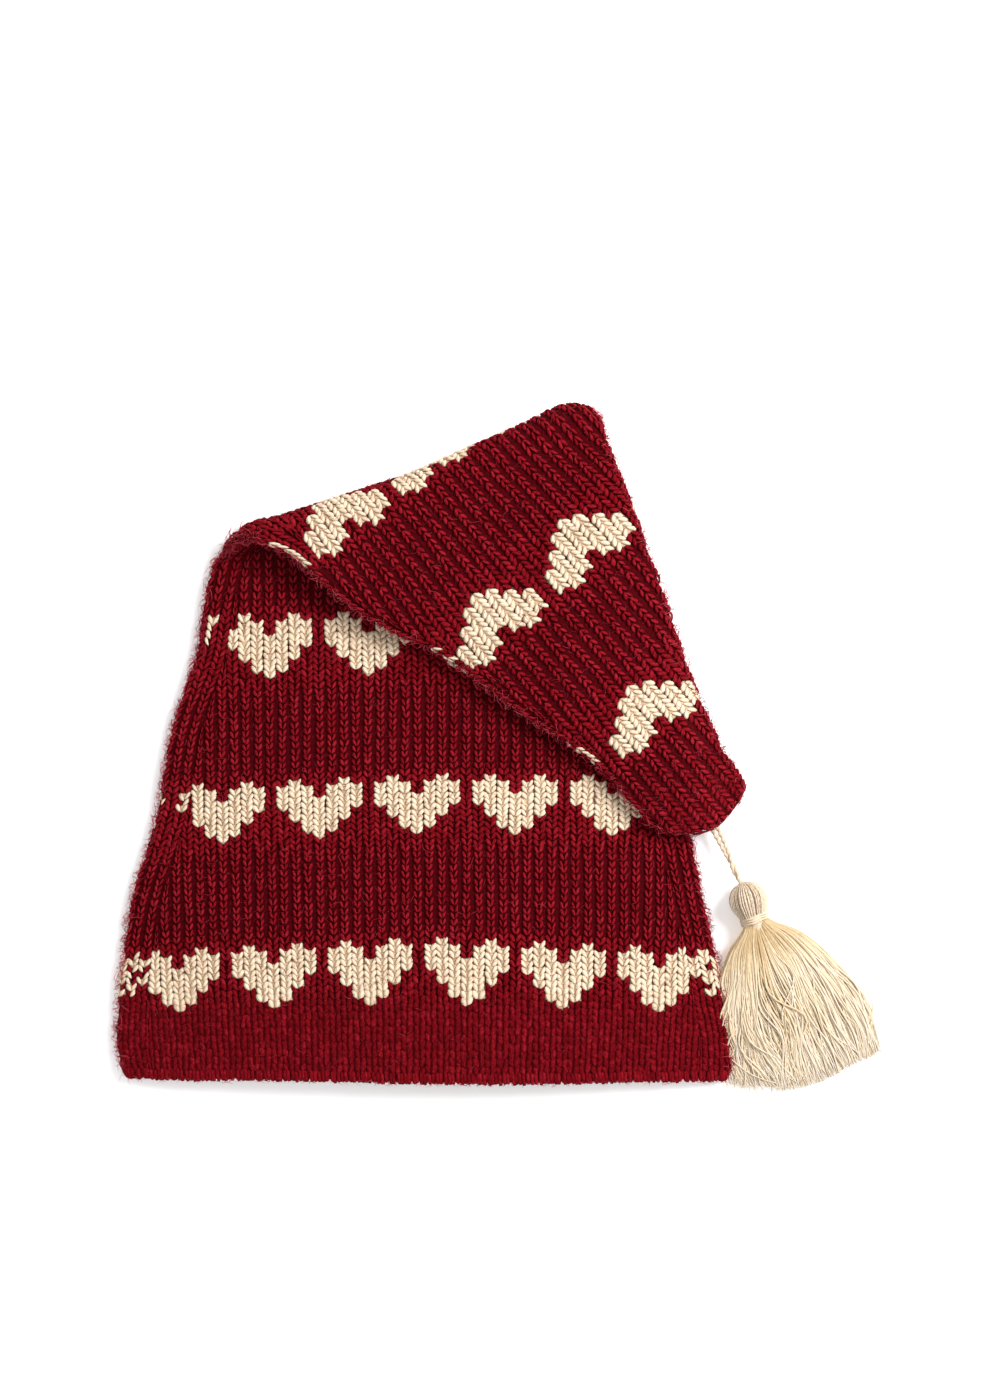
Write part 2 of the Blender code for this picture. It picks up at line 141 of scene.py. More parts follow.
# The rows: at is how far from the brim the middle of a row lies, bow is how much lower its two ends lie than
# its middle and tilt how much lower its left end lies than its middle, all in millimetres.
ROWS = table(("row", "at", "bow", "tilt"), [
    (-4, -8.7, 0.0, 0.0),
    (0, 0.0, 0.0, 0.0),
    (15, 36.7, 5.6, 0.3),
    (41, 91.9, 3.2, 2.1),
    (67, 146.2, 1.8, 1.8),
    (93, 209.8, 0.0, 0.0),
    (119, 268.9, 0.0, -7.6),
    (145, 325.5, 0.0, 0.0),
    (167, 371.3, 0.0, 0.0),
])
BOW_POWER = 1.2
ROW_COUNT = 167
ROWS_EACH = 26  # rows from one row of hearts to the next
SQUEEZE = 0.79  # how far the rows beside the hearts move towards them, in millimetres

# The wales: middle is the x of the middle wale and pitch is the width of a wale, both in millimetres, at a
# distance from the brim in millimetres.
WALES = table(("at", "middle", "pitch"), [
    (0, -2.0, 3.97),
    (34, -2.2, 4.05),
    (91, -2.7, 4.11),
    (147, -2.7, 4.18),
    (215, -0.5, 4.36),
    (271, 3.7, 4.89),
    (328, 7.9, 5.05),
    (371, 11.0, 5.10),
])
SIDE_PITCH = 0.0040  # the same of the wales that run along each side edge, where the knitting is narrowed
SIDE_WALES_BODY = (3, 3)  # left and right
SIDE_WALES_FLAP = (1, 0)
SIDE_CHANGE = (84, 104)  # the rows over which the side wales go from one number to the other
WALE_WANDER = 0.00022  # the most that a wale drifts sideways, in metres
TIP_STRAIGHT = 0.935  # past this share of the length the wales run straight on, inside the rounded tip

# The hearts: seven wales wide and ten rows high, their tips towards the brim, top row first
HEART = (
    ".X...X.",
    "XXX.XXX",
    "XXX.XXX",
    "XXXXXXX",
    "XXXXXXX",
    ".XXXXX.",
    ".XXXXX.",
    "..XXX..",
    "..XXX..",
    "...X...",
)
HEART_EVERY = 8  # wales
HEART_ROWS = (15, 41, 67, 93, 119, 145)  # the middle rows of the hearts
HEM_ROWS = 14  # the knitting is flat up to here, without ribs
TIP_FLAT = (152, 162)  # the rows over which the ribs fade towards the tip

# Cream stitches beside the side edges, where the knitting is narrowed, as (first row, last row, side,
# nearest, farthest, share): side is -1 for the left edge and 1 for the right, nearest and farthest say how
# far in from the edge they lie, in millimetres, and share how many of the stitches there are cream.
PATCHES = (
    (13, 19.5, -1, 0.0, 8.5, 0.72),
    (13, 19.5, 1, 0.0, 7.5, 0.62),
    (67, 74, -1, 4.0, 8.5, 0.50),
    (91, 97, -1, 0.0, 3.6, 0.90),
    (116, 120, -1, 0.0, 2.6, 0.50),
    (141, 147, -1, 0.0, 3.0, 0.60),
)
# The share of the hearts' cream legs that are kept beside the side edges, for each row of hearts
EDGE_CREAM = (0.9, 0.22, 0.0, 0.5, 0.35, 0.3)

# The stitches: how far their legs differ in thickness, in place aside in wales and up in rows, and in height
# in millimetres
BULK_SPREAD = 0.10
ASIDE_SPREAD = 0.030
UP_SPREAD = 0.07
HEIGHT_SPREAD = 0.06
STITCH_WIDTH = 1.12  # wales, at the hearts; it is less in the ribs and in the hem
RIB_NARROWS = 0.43
HEM_NARROWS = 0.06
RIB_WIDENS_LEG = 0.08
HEM_WIDENS_LEG = 0.32
RIB_SHORTENS_LEG = 0.20
RIB_RISES = 0.10  # millimetres in the middle of a wale
RIB_FALLS = 3.0  # millimetres for each square wale from its middle
EDGE_LUMPS = 0.55  # how far the side edges swell and sink, in millimetres
FINE_EACH = 2300  # the most stitches in one piece, with fine legs and with plain ones
PLAIN_EACH = 3800

# The wall under the stitches: rings from the brim to the tip, steps across a ring and round each side edge
BACKING_RINGS = 90
RING_STEPS = 34
RING_ROUND_STEPS = 6
RIM_LOOPS_EACH = 3  # loops round the edge of the brim for each wale
RIM_LOOP_RADIUS = 0.00074

# The loose fibres, as (on the front, from, to, how many): from and to are shares of HAT_LENGTH
SURFACE_FUZZ = ((True, 0.0, 0.62, 4200), (False, 0.5, 1.0, 2200), (False, 0.93, 1.0, 400))
EDGE_FUZZ = ((True, 0.0, 0.60, 1500), (False, 0.0, 1.0, 2000))
FOLD_FIBRES = 700
BRIM_FIBRES = 900
SURFACE_FIBRE_RADIUS = 0.000055
EDGE_FIBRE_RADIUS = 0.000092

# The tassel and the cord, with the same sizes as the CAD model
NECK_PLACE = (0.11139, 0.05242)
HEADING = math.radians(-70.0)
HEAD_RADIUS = 0.0061
HEAD_TO_NECK = 0.0068
HEAD_END_RADIUS = 0.0044  # the radius of the head's yarns under the binding
NECK_RADIUS = 0.0038
NECK_HEIGHT = 0.0057
SKIRT_LENGTH = 0.0600
SKIRT_WIDTH = 0.0530
LOCK_HEIGHT = 0.0058
SKIRT_YARNS = 700
SKIRT_STEPS = 24
YARN_RADIUS = 0.00033
HEAD_YARNS = 70
HEAD_STEPS = 18
CORE_END = 0.004  # how far the head's closed core reaches past the neck
SETTLED_HEIGHT = 0.0006  # the underside of the skirt where it lies on the floor
LOWEST_YARN = 0.0005
# How often each yarn turns about itself on its way
SKIRT_YARN_TURNS = 0.5
HEAD_YARN_TURNS = 2
BINDING_YARN_TURNS = 9
CORD_YARN_TURNS = 5
# The waves of the skirt's yarns, as (waves down the skirt, size in metres, how far the yarns differ)
YARN_WAVES = ((1.1, 0.0015, 0.30), (2.0, 0.0008, 0.45), (3.3, 0.00030, 0.9))
LOOSE_YARNS = 0.05  # the share of yarns that wave more widely, and how many times as wide
LOOSE_WAVES = 2.4
BINDING_TURNS = 3
BINDING_WIDTH = 0.0036
BINDING_YARN = 0.0012
BINDING_GAP = 0.0003
CORD_START = (0.09759, 0.08352, 0.00472)
CORD_BEND = (0.0002, 0.0001, 0.0006)
CORD_TWIST = 0.75  # turns of its two strands round each other

# How far the tips of the skirt reach: side is -1 to 1 across it, reach a share of SKIRT_LENGTH
REACH = table(("side", "reach"), [
    (-1.0, 0.83),
    (-0.66, 0.92),
    (-0.29, 0.985),
    (0.16, 1.00),
    (0.59, 0.97),
    (1.0, 0.96),
])

# How far the yarns spread below the binding: down is a share of SKIRT_LENGTH, spread of half of SKIRT_WIDTH.
FLARE = table(("down", "spread"), [
    (0.00, 0.150),
    (0.03, 0.185),
    (0.07, 0.28),
    (0.13, 0.46),
    (0.35, 0.78),
    (0.62, 0.96),
    (1.00, 1.00),
])

# The floor and the light: the pale floor glows a little, which keeps its shadows soft
FLOOR_SIZE = 3.0
FLOOR_BELOW = 0.00005
FLOOR_COLOUR = (0.98, 0.98, 0.98)
FLOOR_GLOW = 0.22
ROOM_LIGHT = 0.82
KEY_PLACE = (0.76, 0.42, 0.88)
KEY_SIZE = 0.60
KEY_POWER = 18.5

# The photograph's frame
CAMERA_OVER = (0.00106, 0.01601)
CAMERA_HEIGHT = 1.12
FRAME_LONG_SIDE = 0.476  # what the frame's long side covers on the floor
SENSOR = 36.0  # millimetres

# The grain of the wool: how far it turns round a yarn, and how far it runs along it for each millimetre
GRAIN_ROUND = 0.75
GRAIN_ALONG = 0.40

# The colours of each wool: dark, for dark grain and for painted shade in its grooves; plain; and light, for
# light grain and for painted light where it catches the light
WOOL_COLOURS = {
    "red_wool": ((0.070, 0.0005, 0.0017), (0.155, 0.0018, 0.0054), (0.300, 0.0108, 0.020)),
    "cream_wool": ((0.57, 0.41, 0.27), (0.70, 0.545, 0.39), (0.80, 0.665, 0.51)),
    # shaded_cream_wool: a darker copy of the cream wool, painted shade between the legs of the cream
    # stitches
    "shaded_cream_wool": ((0.42, 0.28, 0.165), (0.51, 0.36, 0.23), (0.58, 0.43, 0.285)),
    # The backing's dark red is painted shade: it stands for the shade in the gaps between the stitches
    "painted_shade_red_wool": ((0.048, 0.0004, 0.0018), (0.085, 0.0009, 0.0035), (0.17, 0.003, 0.009)),
    # fibre: lighter and pinker than the red wool, painted light for the glow of loose fibres in the light
    "fibre": ((0.16, 0.003, 0.008), (0.30, 0.016, 0.030), (0.50, 0.062, 0.085)),
    "tassel_wool": ((0.53, 0.375, 0.20), (0.715, 0.57, 0.375), (0.72, 0.63, 0.52)),
    "head_wool": ((0.64, 0.485, 0.34), (0.73, 0.595, 0.45), (0.80, 0.70, 0.565)),
    "cord_wool": ((0.60, 0.45, 0.32), (0.70, 0.56, 0.43), (0.78, 0.67, 0.55)),
    # shaded_tassel_wool: a more golden wool for the filling, painted warm shade between the yarns
    "shaded_tassel_wool": ((0.80, 0.54, 0.27), (0.86, 0.62, 0.35), (0.90, 0.69, 0.43)),
}

# The surface of each wool, as (scale, depth, tone share, sheen): scale is how fine its grain is, depth how
# deep in metres, and tone share how much of its colour comes from the piece's tone (which carries painted
# light and shade in some pieces), not from its grain.
WOOL_SURFACES = {
    "red_wool": (2.8, 0.0003, 0.52, 0.08),
    "cream_wool": (2.8, 0.0003, 0.52, 0.1),
    "shaded_cream_wool": (2.6, 0.0003, 0.0, 0.0),
    "painted_shade_red_wool": (1.4, 0.0004, 0.5, 0.0),
    "fibre": (0.4, 0.0001, 1.0, 0.0),
    "tassel_wool": (1.8, 0.0002, 0.60, 0.35),
    "head_wool": (1.8, 0.0002, 0.50, 0.25),
    "cord_wool": (1.8, 0.0002, 0.50, 0.2),
    "shaded_tassel_wool": (1.0, 0.0002, 0.0, 0.2),
}

STITCH_SEED = 11
FUZZ_SEED = 23
TASSEL_SEED = 5


# Shape of the hat, as in the CAD model


def curve_through(rows, known, wanted, at):
    """One column of a table at values of another, on a smooth curve that never overshoots the rows."""
    places, values = rows[known], rows[wanted]
    at = np.clip(np.asarray(at, float), places[0], places[-1])
    step = np.diff(places)
    slope = np.diff(values) / step
    product = slope[:-1] * slope[1:]
    total = slope[:-1] + slope[1:]
    tangent = np.empty(len(values))
    tangent[1:-1] = np.where(product > 0, 2 * product / np.where(total == 0, 1, total), 0)
    tangent[0] = slope[0]
    tangent[-1] = slope[-1]
    i = np.clip(np.searchsorted(places, at, side="right") - 1, 0, len(step) - 1)
    p = (at - places[i]) / step[i]
    start = (1 + 2 * p) * (1 - p) ** 2 * values[i]
    end = p**2 * (3 - 2 * p) * values[i + 1]
    bend = step[i] * p * (1 - p) * ((1 - p) * tangent[i] - p * tangent[i + 1])
    return start + end + bend


def smooth_step(x):
    x = np.clip(x, 0, 1)
    return x * x * (3 - 2 * x)


def left_edge(y):
    return BRIM_WIDTH * curve_through(OUTLINE, "along", "left", y / HAT_LENGTH)


def right_edge(y):
    return BRIM_WIDTH * curve_through(OUTLINE, "along", "right", y / HAT_LENGTH)


def to_crease(x, y):
    """A place on the flat hat as (along the crease, past the crease)."""
    c, s = math.cos(CREASE_TILT), math.sin(CREASE_TILT)
    return x * c + (y - CREASE_AT) * s, (y - CREASE_AT) * c - x * s


def from_crease(along, past):
    c, s = math.cos(CREASE_TILT), math.sin(CREASE_TILT)
    return along * c - past * s, CREASE_AT + along * s + past * c


def across(x, y):
    """Where a place lies between the side edges, from -1 to 1."""
    left, right = left_edge(y), right_edge(y)
    half = np.maximum((right - left) / 2 - EDGE_RADIUS, 0.001)
    return (x - (left + right) / 2) / half


def crown(x, y):
    """How far the front stands above the side edges."""
    past = to_crease(x, y)[1]
    body = BODY_CROWN * smooth_step((-past - FOLD_HALF_ARC) / CROWN_GROWS_BODY)
    flap = FLAP_CROWN * smooth_step((past - FOLD_HALF_ARC) / CROWN_GROWS_FLAP)
    flap = flap * smooth_step((HAT_LENGTH - y) / 0.03)
    full = 1 - np.minimum(np.abs(across(x, y)), 1) ** CROWN_POWER
    return (body + flap) * full


def fold_size(along):
    place = along / BRIM_WIDTH
    reach = FOLD_RADIUS * curve_through(FOLD, "place", "reach", place)
    rise = FOLD_RADIUS * curve_through(FOLD, "place", "rise", place)
    return reach, rise


def body_top(x, y):
    """The height of what the flap lies on: the body's front, and past its side edges the way down."""
    beyond = (np.abs(across(x, y)) - 1) * ((right_edge(y) - left_edge(y)) / 2 - EDGE_RADIUS) - EDGE_RADIUS
    down = 0.5 - 0.5 * np.cos(math.pi * np.clip(beyond / DRAPE, 0, 1))
    height = 2 * EDGE_RADIUS + crown(x, y) + FLAP_CLEARANCE
    return height * (1 - down) + FLOOR_GAP * down


def folded(x, y, z):
    """Where a point of the flat hat is once the tip is turned over."""
    along, past = to_crease(x, y)
    reach, rise = fold_size(along)
    turn = math.pi * np.clip((past + FOLD_HALF_ARC) / (2 * FOLD_HALF_ARC), 0, 1)
    round_past = -FOLD_HALF_ARC + (reach - z) * np.sin(turn)
    round_height = rise - (rise - z) * np.cos(turn)

    flap_past = -past
    thick = 2 * EDGE_RADIUS + crown(x, y)
    flap_x, flap_y = from_crease(along, flap_past)
    rest = body_top(flap_x, flap_y)
    left_share = smooth_step((0.35 - across(x, y)) / 1.3)
    settle = (past - FOLD_HALF_ARC) / (FLAP_SETTLES + FLAP_SETTLES_LEFT * left_share)
    lifted = 1 - smooth_step(settle)
    under = np.maximum(rest * (1 - lifted) + (2 * rise - thick) * lifted, rest)
    flap_height = under + thick - z

    on_body = past <= -FOLD_HALF_ARC
    on_flap = past >= FOLD_HALF_ARC
    new_past = np.where(on_body, past, np.where(on_flap, flap_past, round_past))
    height = np.where(on_body, z, np.where(on_flap, flap_height, round_height))
    new_x, new_y = from_crease(along, new_past)
    return np.stack([new_x, new_y, height], axis=-1)


def dipped(x, y):
    """The y of a point of the flat hat, with the brim's edge wandering a little."""
    dip = BRIM_DIP * curve_through(BRIM, "place", "dip", x / BRIM_WIDTH)
    return y - dip * np.exp(-np.maximum(y, 0) / BRIM_DIP_FADES)


def edge_round(y):
    """The radius of the side edges, which closes at the tip."""
    from_tip = np.clip((HAT_LENGTH - y) / EDGE_RADIUS, 0, 1)
    radius = EDGE_RADIUS * np.sqrt(1 - (1 - from_tip) ** 2)
    return np.minimum(radius, 0.45 * (right_edge(y) - left_edge(y)))


def panel_ends(y):
    """How far the front or the back reaches to the left and to the right, measured along the knitting."""
    radius = edge_round(y)
    spare = (math.pi / 2 - 1) * radius
    return left_edge(y) - spare, right_edge(y) + spare


def panel_point(c, y, front, lift):
    """A point of the front or the back: c runs across it along the knitting, lift is how far above it."""
    radius = edge_round(y)
    flat = np.clip(c, left_edge(y) + radius, right_edge(y) - radius)
    bend = np.clip((c - flat) / np.maximum(radius, 1e-5), -math.pi / 2, math.pi / 2)
    x = flat + (radius + lift) * np.sin(bend)
    up = (radius + lift) * np.cos(bend)
    z = np.where(front, EDGE_RADIUS + up + crown(x, y), EDGE_RADIUS - up)
    return folded(x, dipped(x, y), z)


# Making objects and meshes


def add_object(name, data):
    item = bpy.data.objects.new(name, data)
    bpy.context.scene.collection.objects.link(item)
    return item


def make_piece(name, points, quads, triangles, material, slot, node, tone, fibre=None):
    """A mesh piece that rides with the hat, replaces a CAD node and takes a finish.

    tone makes its points lighter or darker, and fibre is where they lie in the grain of the wool.
    """
    quads = np.asarray(quads, np.int32).reshape(-1, 4)
    triangles = np.asarray(triangles, np.int32).reshape(-1, 3)
    loops = np.concatenate([quads.ravel(), triangles.ravel()])
    starts = np.concatenate([
        np.arange(len(quads), dtype=np.int32) * 4,
        len(quads) * 4 + np.arange(len(triangles), dtype=np.int32) * 3,
    ])
    mesh = bpy.data.meshes.new(name)
    mesh.vertices.add(len(points))
    mesh.vertices.foreach_set("co", np.asarray(points, np.float32).ravel())
    mesh.loops.add(len(loops))
    mesh.loops.foreach_set("vertex_index", loops)
    mesh.polygons.add(len(starts))
    mesh.polygons.foreach_set("loop_start", starts)
    mesh.update(calc_edges=True)
    mesh.shade_smooth()
    tone = np.broadcast_to(tone, len(points))
    attribute = mesh.attributes.new("tone", "FLOAT", "POINT")
    attribute.data.foreach_set("value", tone.astype(np.float32))
    fibre = np.asarray(points) / MILLIMETRE if fibre is None else fibre
    attribute = mesh.attributes.new("fibre", "FLOAT_VECTOR", "POINT")
    attribute.data.foreach_set("vector", fibre.astype(np.float32).ravel())
    mesh.materials.append(material)
    piece = add_object(name, mesh)
    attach(piece, "root")
    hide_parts(node)


def tube_faces(rings, count):
    """Faces of one tube of so many rings, and the fans at its two ends; the two tip points come last."""
    i = np.arange(count)
    j = (i + 1) % count
    ring = np.arange(rings - 1)[:, None] * count
    quads = np.stack([ring + i, ring + j, ring + count + j, ring + count + i], axis=-1).reshape(-1, 4)
    end = (rings - 1) * count
    first = np.stack([j, i, np.full(count, rings * count)], axis=-1)
    last = np.stack([end + i, end + j, np.full(count, rings * count + 1)], axis=-1)
    return quads, np.stack([first, last], axis=1).reshape(-1, 3)


def closed_tube(rings):
    """Points and faces of one closed tube through the given rings, with its outside facing out."""
    quads, triangles = tube_faces(len(rings), rings.shape[1])
    points = np.concatenate([rings.reshape(-1, 3), [rings[0].mean(axis=0), rings[-1].mean(axis=0)]])
    return points, quads[:, ::-1], triangles[:, ::-1]


def repeated(faces, copies, points_each, flip=False):
    """The faces of many copies of one small mesh."""
    if flip:
        faces = faces[:, ::-1]
    offsets = np.arange(copies)[:, None, None] * points_each
    return (faces[None] + offsets).reshape(-1, faces.shape[1])


def frames_along(centres):
    """Unit vectors to the side of and above each point of many lines of centres."""
    ahead = np.gradient(centres, axis=1)
    ahead /= np.linalg.norm(ahead, axis=2, keepdims=True)
    reference = np.array((0.0, 0.0, 1.0))
    side = np.cross(np.broadcast_to(reference, ahead.shape), ahead)
    length = np.linalg.norm(side, axis=2, keepdims=True)
    steep = length < 0.05
    side = np.where(steep, np.cross(np.broadcast_to((1.0, 0.0, 0.0), ahead.shape), ahead), side)
    side /= np.linalg.norm(side, axis=2, keepdims=True)
    return ahead, side, np.cross(ahead, side)


def yarns(centres, wide, thin, spin, count):
    """Many tubes of oval section that turn as they go, as plied yarn does: their mesh and their grain."""
    copies, rings, _ = centres.shape
    ahead, side, up = frames_along(centres)
    angle = TURN * (np.arange(count) + 0.5) / count
    a = wide[..., None] * np.cos(angle)
    b = thin[..., None] * np.sin(angle)
    turned_side = a * np.cos(spin)[..., None] - b * np.sin(spin)[..., None]
    turned_up = a * np.sin(spin)[..., None] + b * np.cos(spin)[..., None]
    ring = centres[:, :, None] + turned_side[..., None] * side[:, :, None]
    ring = ring + turned_up[..., None] * up[:, :, None]
    first = centres[:, 0] - ahead[:, 0] * wide[:, :1]
    last = centres[:, -1] + ahead[:, -1] * wide[:, -1:]
    points = np.concatenate([ring.reshape(copies, -1, 3), first[:, None], last[:, None]], axis=1)
    length = np.linalg.norm(np.diff(centres, axis=1), axis=2).cumsum(axis=1) / MILLIMETRE
    length = np.concatenate([np.zeros((copies, 1)), length], axis=1)
    grain = np.zeros((copies, rings * count + 2, 3))
    grain[:, :-2, 0] = np.tile(np.cos(angle), rings) * GRAIN_ROUND + 7.3 * np.arange(copies)[:, None]
    grain[:, :-2, 1] = np.repeat(length, count, axis=1) * GRAIN_ALONG
    grain[:, :-2, 2] = np.tile(np.sin(angle), rings) * GRAIN_ROUND
    grain[:, -2] = grain[:, 0]
    grain[:, -1] = grain[:, -3]
    quads, triangles = tube_faces(rings, count)
    each = rings * count + 2
    faces = repeated(quads, copies, each), repeated(triangles, copies, each)
    return (points.reshape(-1, 3), *faces), grain.reshape(-1, 3)


# Materials


def set_inputs(node, values):
    for name, value in values.items():
        node.inputs[name].default_value = value


def add_material(name, values):
    """A material and its shader, with the given inputs."""
    material = bpy.data.materials.new(name)
    material.use_nodes = True
    shader = material.node_tree.nodes["Principled BSDF"]
    set_inputs(shader, values)
    return material, shader


def add_node(tree, kind, **values):
    node = tree.nodes.new(kind)
    for name, value in values.items():
        if name in node.inputs:
            node.inputs[name].default_value = value
        else:
            setattr(node, name, value)
    return node


def wool(name):
    """Wool: a colour that changes from fibre to fibre, from stitch to stitch and with the painted light and
    shade that some pieces carry in their tone, on a fibrous surface.
    """
    dark, plain, light = WOOL_COLOURS[name]
    scale, depth, tone_share, sheen = WOOL_SURFACES[name]
    material, shader = add_material(name, {
        "Roughness": 0.92,
        "Specular IOR Level": 0.05,
        "Sheen Weight": sheen,
        "Sheen Roughness": 0.45,
        "Sheen Tint": (*light, 1.0),
    })
    tree = material.node_tree
    link = tree.links.new
    place = add_node(tree, "ShaderNodeTexCoord").outputs["Object"]
    fibre = add_node(tree, "ShaderNodeAttribute", attribute_name="fibre").outputs["Vector"]
    fine = add_node(tree, "ShaderNodeTexNoise", Scale=scale, Detail=2.0, Roughness=0.6)
    broad = add_node(tree, "ShaderNodeTexNoise", Scale=70.0, Detail=2.0)
    tone = add_node(tree, "ShaderNodeAttribute", attribute_name="tone")
    link(fibre, fine.inputs["Vector"])
    link(place, broad.inputs["Vector"])
    spread = add_node(tree, "ShaderNodeMapRange")
    set_inputs(spread, {"From Min": 0.32, "From Max": 0.68})
    link(fine.outputs["Fac"], spread.inputs["Value"])
    grain = add_node(tree, "ShaderNodeMix", data_type="FLOAT", Factor=0.25)
    link(spread.outputs["Result"], grain.inputs["A"])
    link(broad.outputs["Fac"], grain.inputs["B"])
    blend = add_node(tree, "ShaderNodeMix", data_type="FLOAT", Factor=tone_share)
    link(grain.outputs["Result"], blend.inputs["A"])
    link(tone.outputs["Fac"], blend.inputs["B"])
    ramp = add_node(tree, "ShaderNodeValToRGB")
    elements = ramp.color_ramp.elements
    elements[0].position = 0.22
    elements[0].color = (*dark, 1.0)
    elements[1].position = 0.78
    elements[1].color = (*light, 1.0)
    middle = elements.new(0.5)
    middle.color = (*plain, 1.0)
    link(blend.outputs["Result"], ramp.inputs["Fac"])
    link(ramp.outputs["Color"], shader.inputs["Base Color"])
    bump = add_node(tree, "ShaderNodeBump", Strength=0.6, Distance=depth)
    link(fine.outputs["Fac"], bump.inputs["Height"])
    link(bump.outputs["Normal"], shader.inputs["Normal"])
    return material


# The knitting


def row_middle(row):
    """How far from the brim the middle of a row lies, in millimetres."""
    at = curve_through(ROWS, "row", "at", row)
    from_heart = row - (HEART_ROWS[0] - 0.5)
    inside = smooth_step(row / 6.0) * smooth_step((ROW_COUNT - row) / 6.0)
    return at - SQUEEZE * inside * np.sin(TURN * from_heart / ROWS_EACH)


def row_at(row, x):
    """How far from the brim a row lies at x."""
    at = row_middle(row)
    bow = curve_through(ROWS, "row", "bow", row)
    tilt = curve_through(ROWS, "row", "tilt", row)
    share = x / (BRIM_WIDTH / 2)
    return (at - bow * np.abs(share) ** BOW_POWER + tilt * share) * MILLIMETRE


def wander(wale, row):
    """The sideways drift of the wales."""
    slow = np.sin(0.23 * row + 1.7 * wale) * np.sin(0.071 * row + 0.9 * wale + 2.0)
    return WALE_WANDER * slow


def wale_ends(y):
    """How far the wales reach to the left and to the right, measured along the knitting."""
    return panel_ends(np.minimum(y, TIP_STRAIGHT * HAT_LENGTH))


def side_wales(row, side):
    """How many wales run along the left (-1) or the right (1) side edge."""
    first, last = SIDE_CHANGE
    share = smooth_step((row - first) / (last - first))
    body = np.where(side < 0, SIDE_WALES_BODY[0], SIDE_WALES_BODY[1])
    flap = np.where(side < 0, SIDE_WALES_FLAP[0], SIDE_WALES_FLAP[1])
    return body + (flap - body) * share


def middle_and_pitch(at):
    """The x of the middle wale and the width of a wale, at a distance from the brim in millimetres."""
    middle = curve_through(WALES, "at", "middle", at)
    pitch = curve_through(WALES, "at", "pitch", at)
    return middle * MILLIMETRE, pitch * MILLIMETRE


def wale_span(wale, side, row):
    """The left and right borders of a wale, and its y. Side is 0 for a middle wale, -1 or 1 for a side wale.

    A side wale is counted from its side edge. A middle wale narrows where it runs into the side wales.
    """
    at = row_middle(row)
    middle, pitch = middle_and_pitch(at)
    left, right = wale_ends(at * MILLIMETRE)
    rough = np.where(side == 0, middle + wale * pitch, np.where(side < 0, left, right))
    y = row_at(row, np.clip(rough, left, right))
    left, right = wale_ends(np.clip(y, 0, HAT_LENGTH))
    first = left + side_wales(row, -1) * SIDE_PITCH
    last = right - side_wales(row, 1) * SIDE_PITCH
    half = 0.5 * pitch
    low = np.clip(middle + wale * pitch - half, first, last)
    high = np.clip(middle + wale * pitch + half, first, last)
    side_middle = np.where(side < 0, left + wale * SIDE_PITCH, right - wale * SIDE_PITCH)
    low = np.where(side == 0, low, side_middle - 0.5 * SIDE_PITCH)
    high = np.where(side == 0, high, side_middle + 0.5 * SIDE_PITCH)
    return low, high, y


def stitch_place(wale, side, row, aside):
    """(c, y) of a place in a wale, so far from its middle to the right, in wales."""
    low, high, y = wale_span(wale, side, row)
    c = 0.5 * (low + high) + aside * (high - low)
    return c + wander(wale, row), y


def heart_colour(wale, row):
    """True where a stitch is cream."""
    cream = np.zeros(len(wale), bool)
    for number, middle_row in enumerate(HEART_ROWS):
        shift = HEART_EVERY // 2 if number % 2 == 0 else 0
        column = np.mod(wale - shift + 3, HEART_EVERY)
        line = middle_row + 4 - row
        for k, pattern in enumerate(HEART):
            for j, mark in enumerate(pattern):
                if mark == "X":
                    cream |= (line == k) & (column == j)
    return cream


def ribbing(row):
    """How deep the grooves between the wales are, from 0 at the hearts to 1 between the rows of hearts."""
    depth = smooth_step((row - HEM_ROWS - 3) / 4.0)
    for middle_row in HEART_ROWS:
        above = smooth_step((row - middle_row - 4.0) / 2.5)
        below = smooth_step((middle_row - 5.0 - row) / 5.0)
        depth = depth * np.maximum(above, below)
    at_tip = smooth_step((row - TIP_FLAT[0]) / (TIP_FLAT[1] - TIP_FLAT[0]))
    return depth * (1 - 0.7 * at_tip)


def all_stitches():
    """Every stitch of one panel, as rows of (wale, side, row)."""
    rows = np.arange(0, ROW_COUNT)
    found = []
    for side in (-1, 1):
        for order in range(max(SIDE_WALES_BODY + SIDE_WALES_FLAP)):
            wale = np.full(len(rows), order + 0.5)
            sides = np.full(len(rows), side)
            c, y = stitch_place(wale, sides, rows, 0.0)
            left, right = wale_ends(y)
            keep = side * (c - (left + right) / 2) > 0.4 * SIDE_PITCH
            keep &= side_wales(rows, side) > order + 0.45
            found.append(np.stack([wale, sides, rows], axis=1)[keep])
    for number in range(-28, 29):
        wale = np.full(len(rows), float(number))
        sides = np.zeros(len(rows))
        low, high, _ = wale_span(wale, sides, rows)
        keep = high - low > 0.28 * SIDE_PITCH
        found.append(np.stack([wale, sides, rows], axis=1)[keep])
    stitches = np.concatenate(found)
    c, y = stitch_place(stitches[:, 0], stitches[:, 1], stitches[:, 2], 0.0)
    left, right = panel_ends(np.clip(y, 0, HAT_LENGTH))
    return stitches[(c > left) & (c < right)]


def covered(x, y, margin):
    """True where the flap lies over a place of the front, by more than a margin inside the flap's edge."""
    along, past = to_crease(x, y)
    flap_x, flap_y = from_crease(along, -past)
    inside = (flap_x > left_edge(flap_y) + margin) & (flap_x < right_edge(flap_y) - margin)
    return inside & (flap_y < HAT_LENGTH - margin) & (past < FOLD_HALF_ARC)


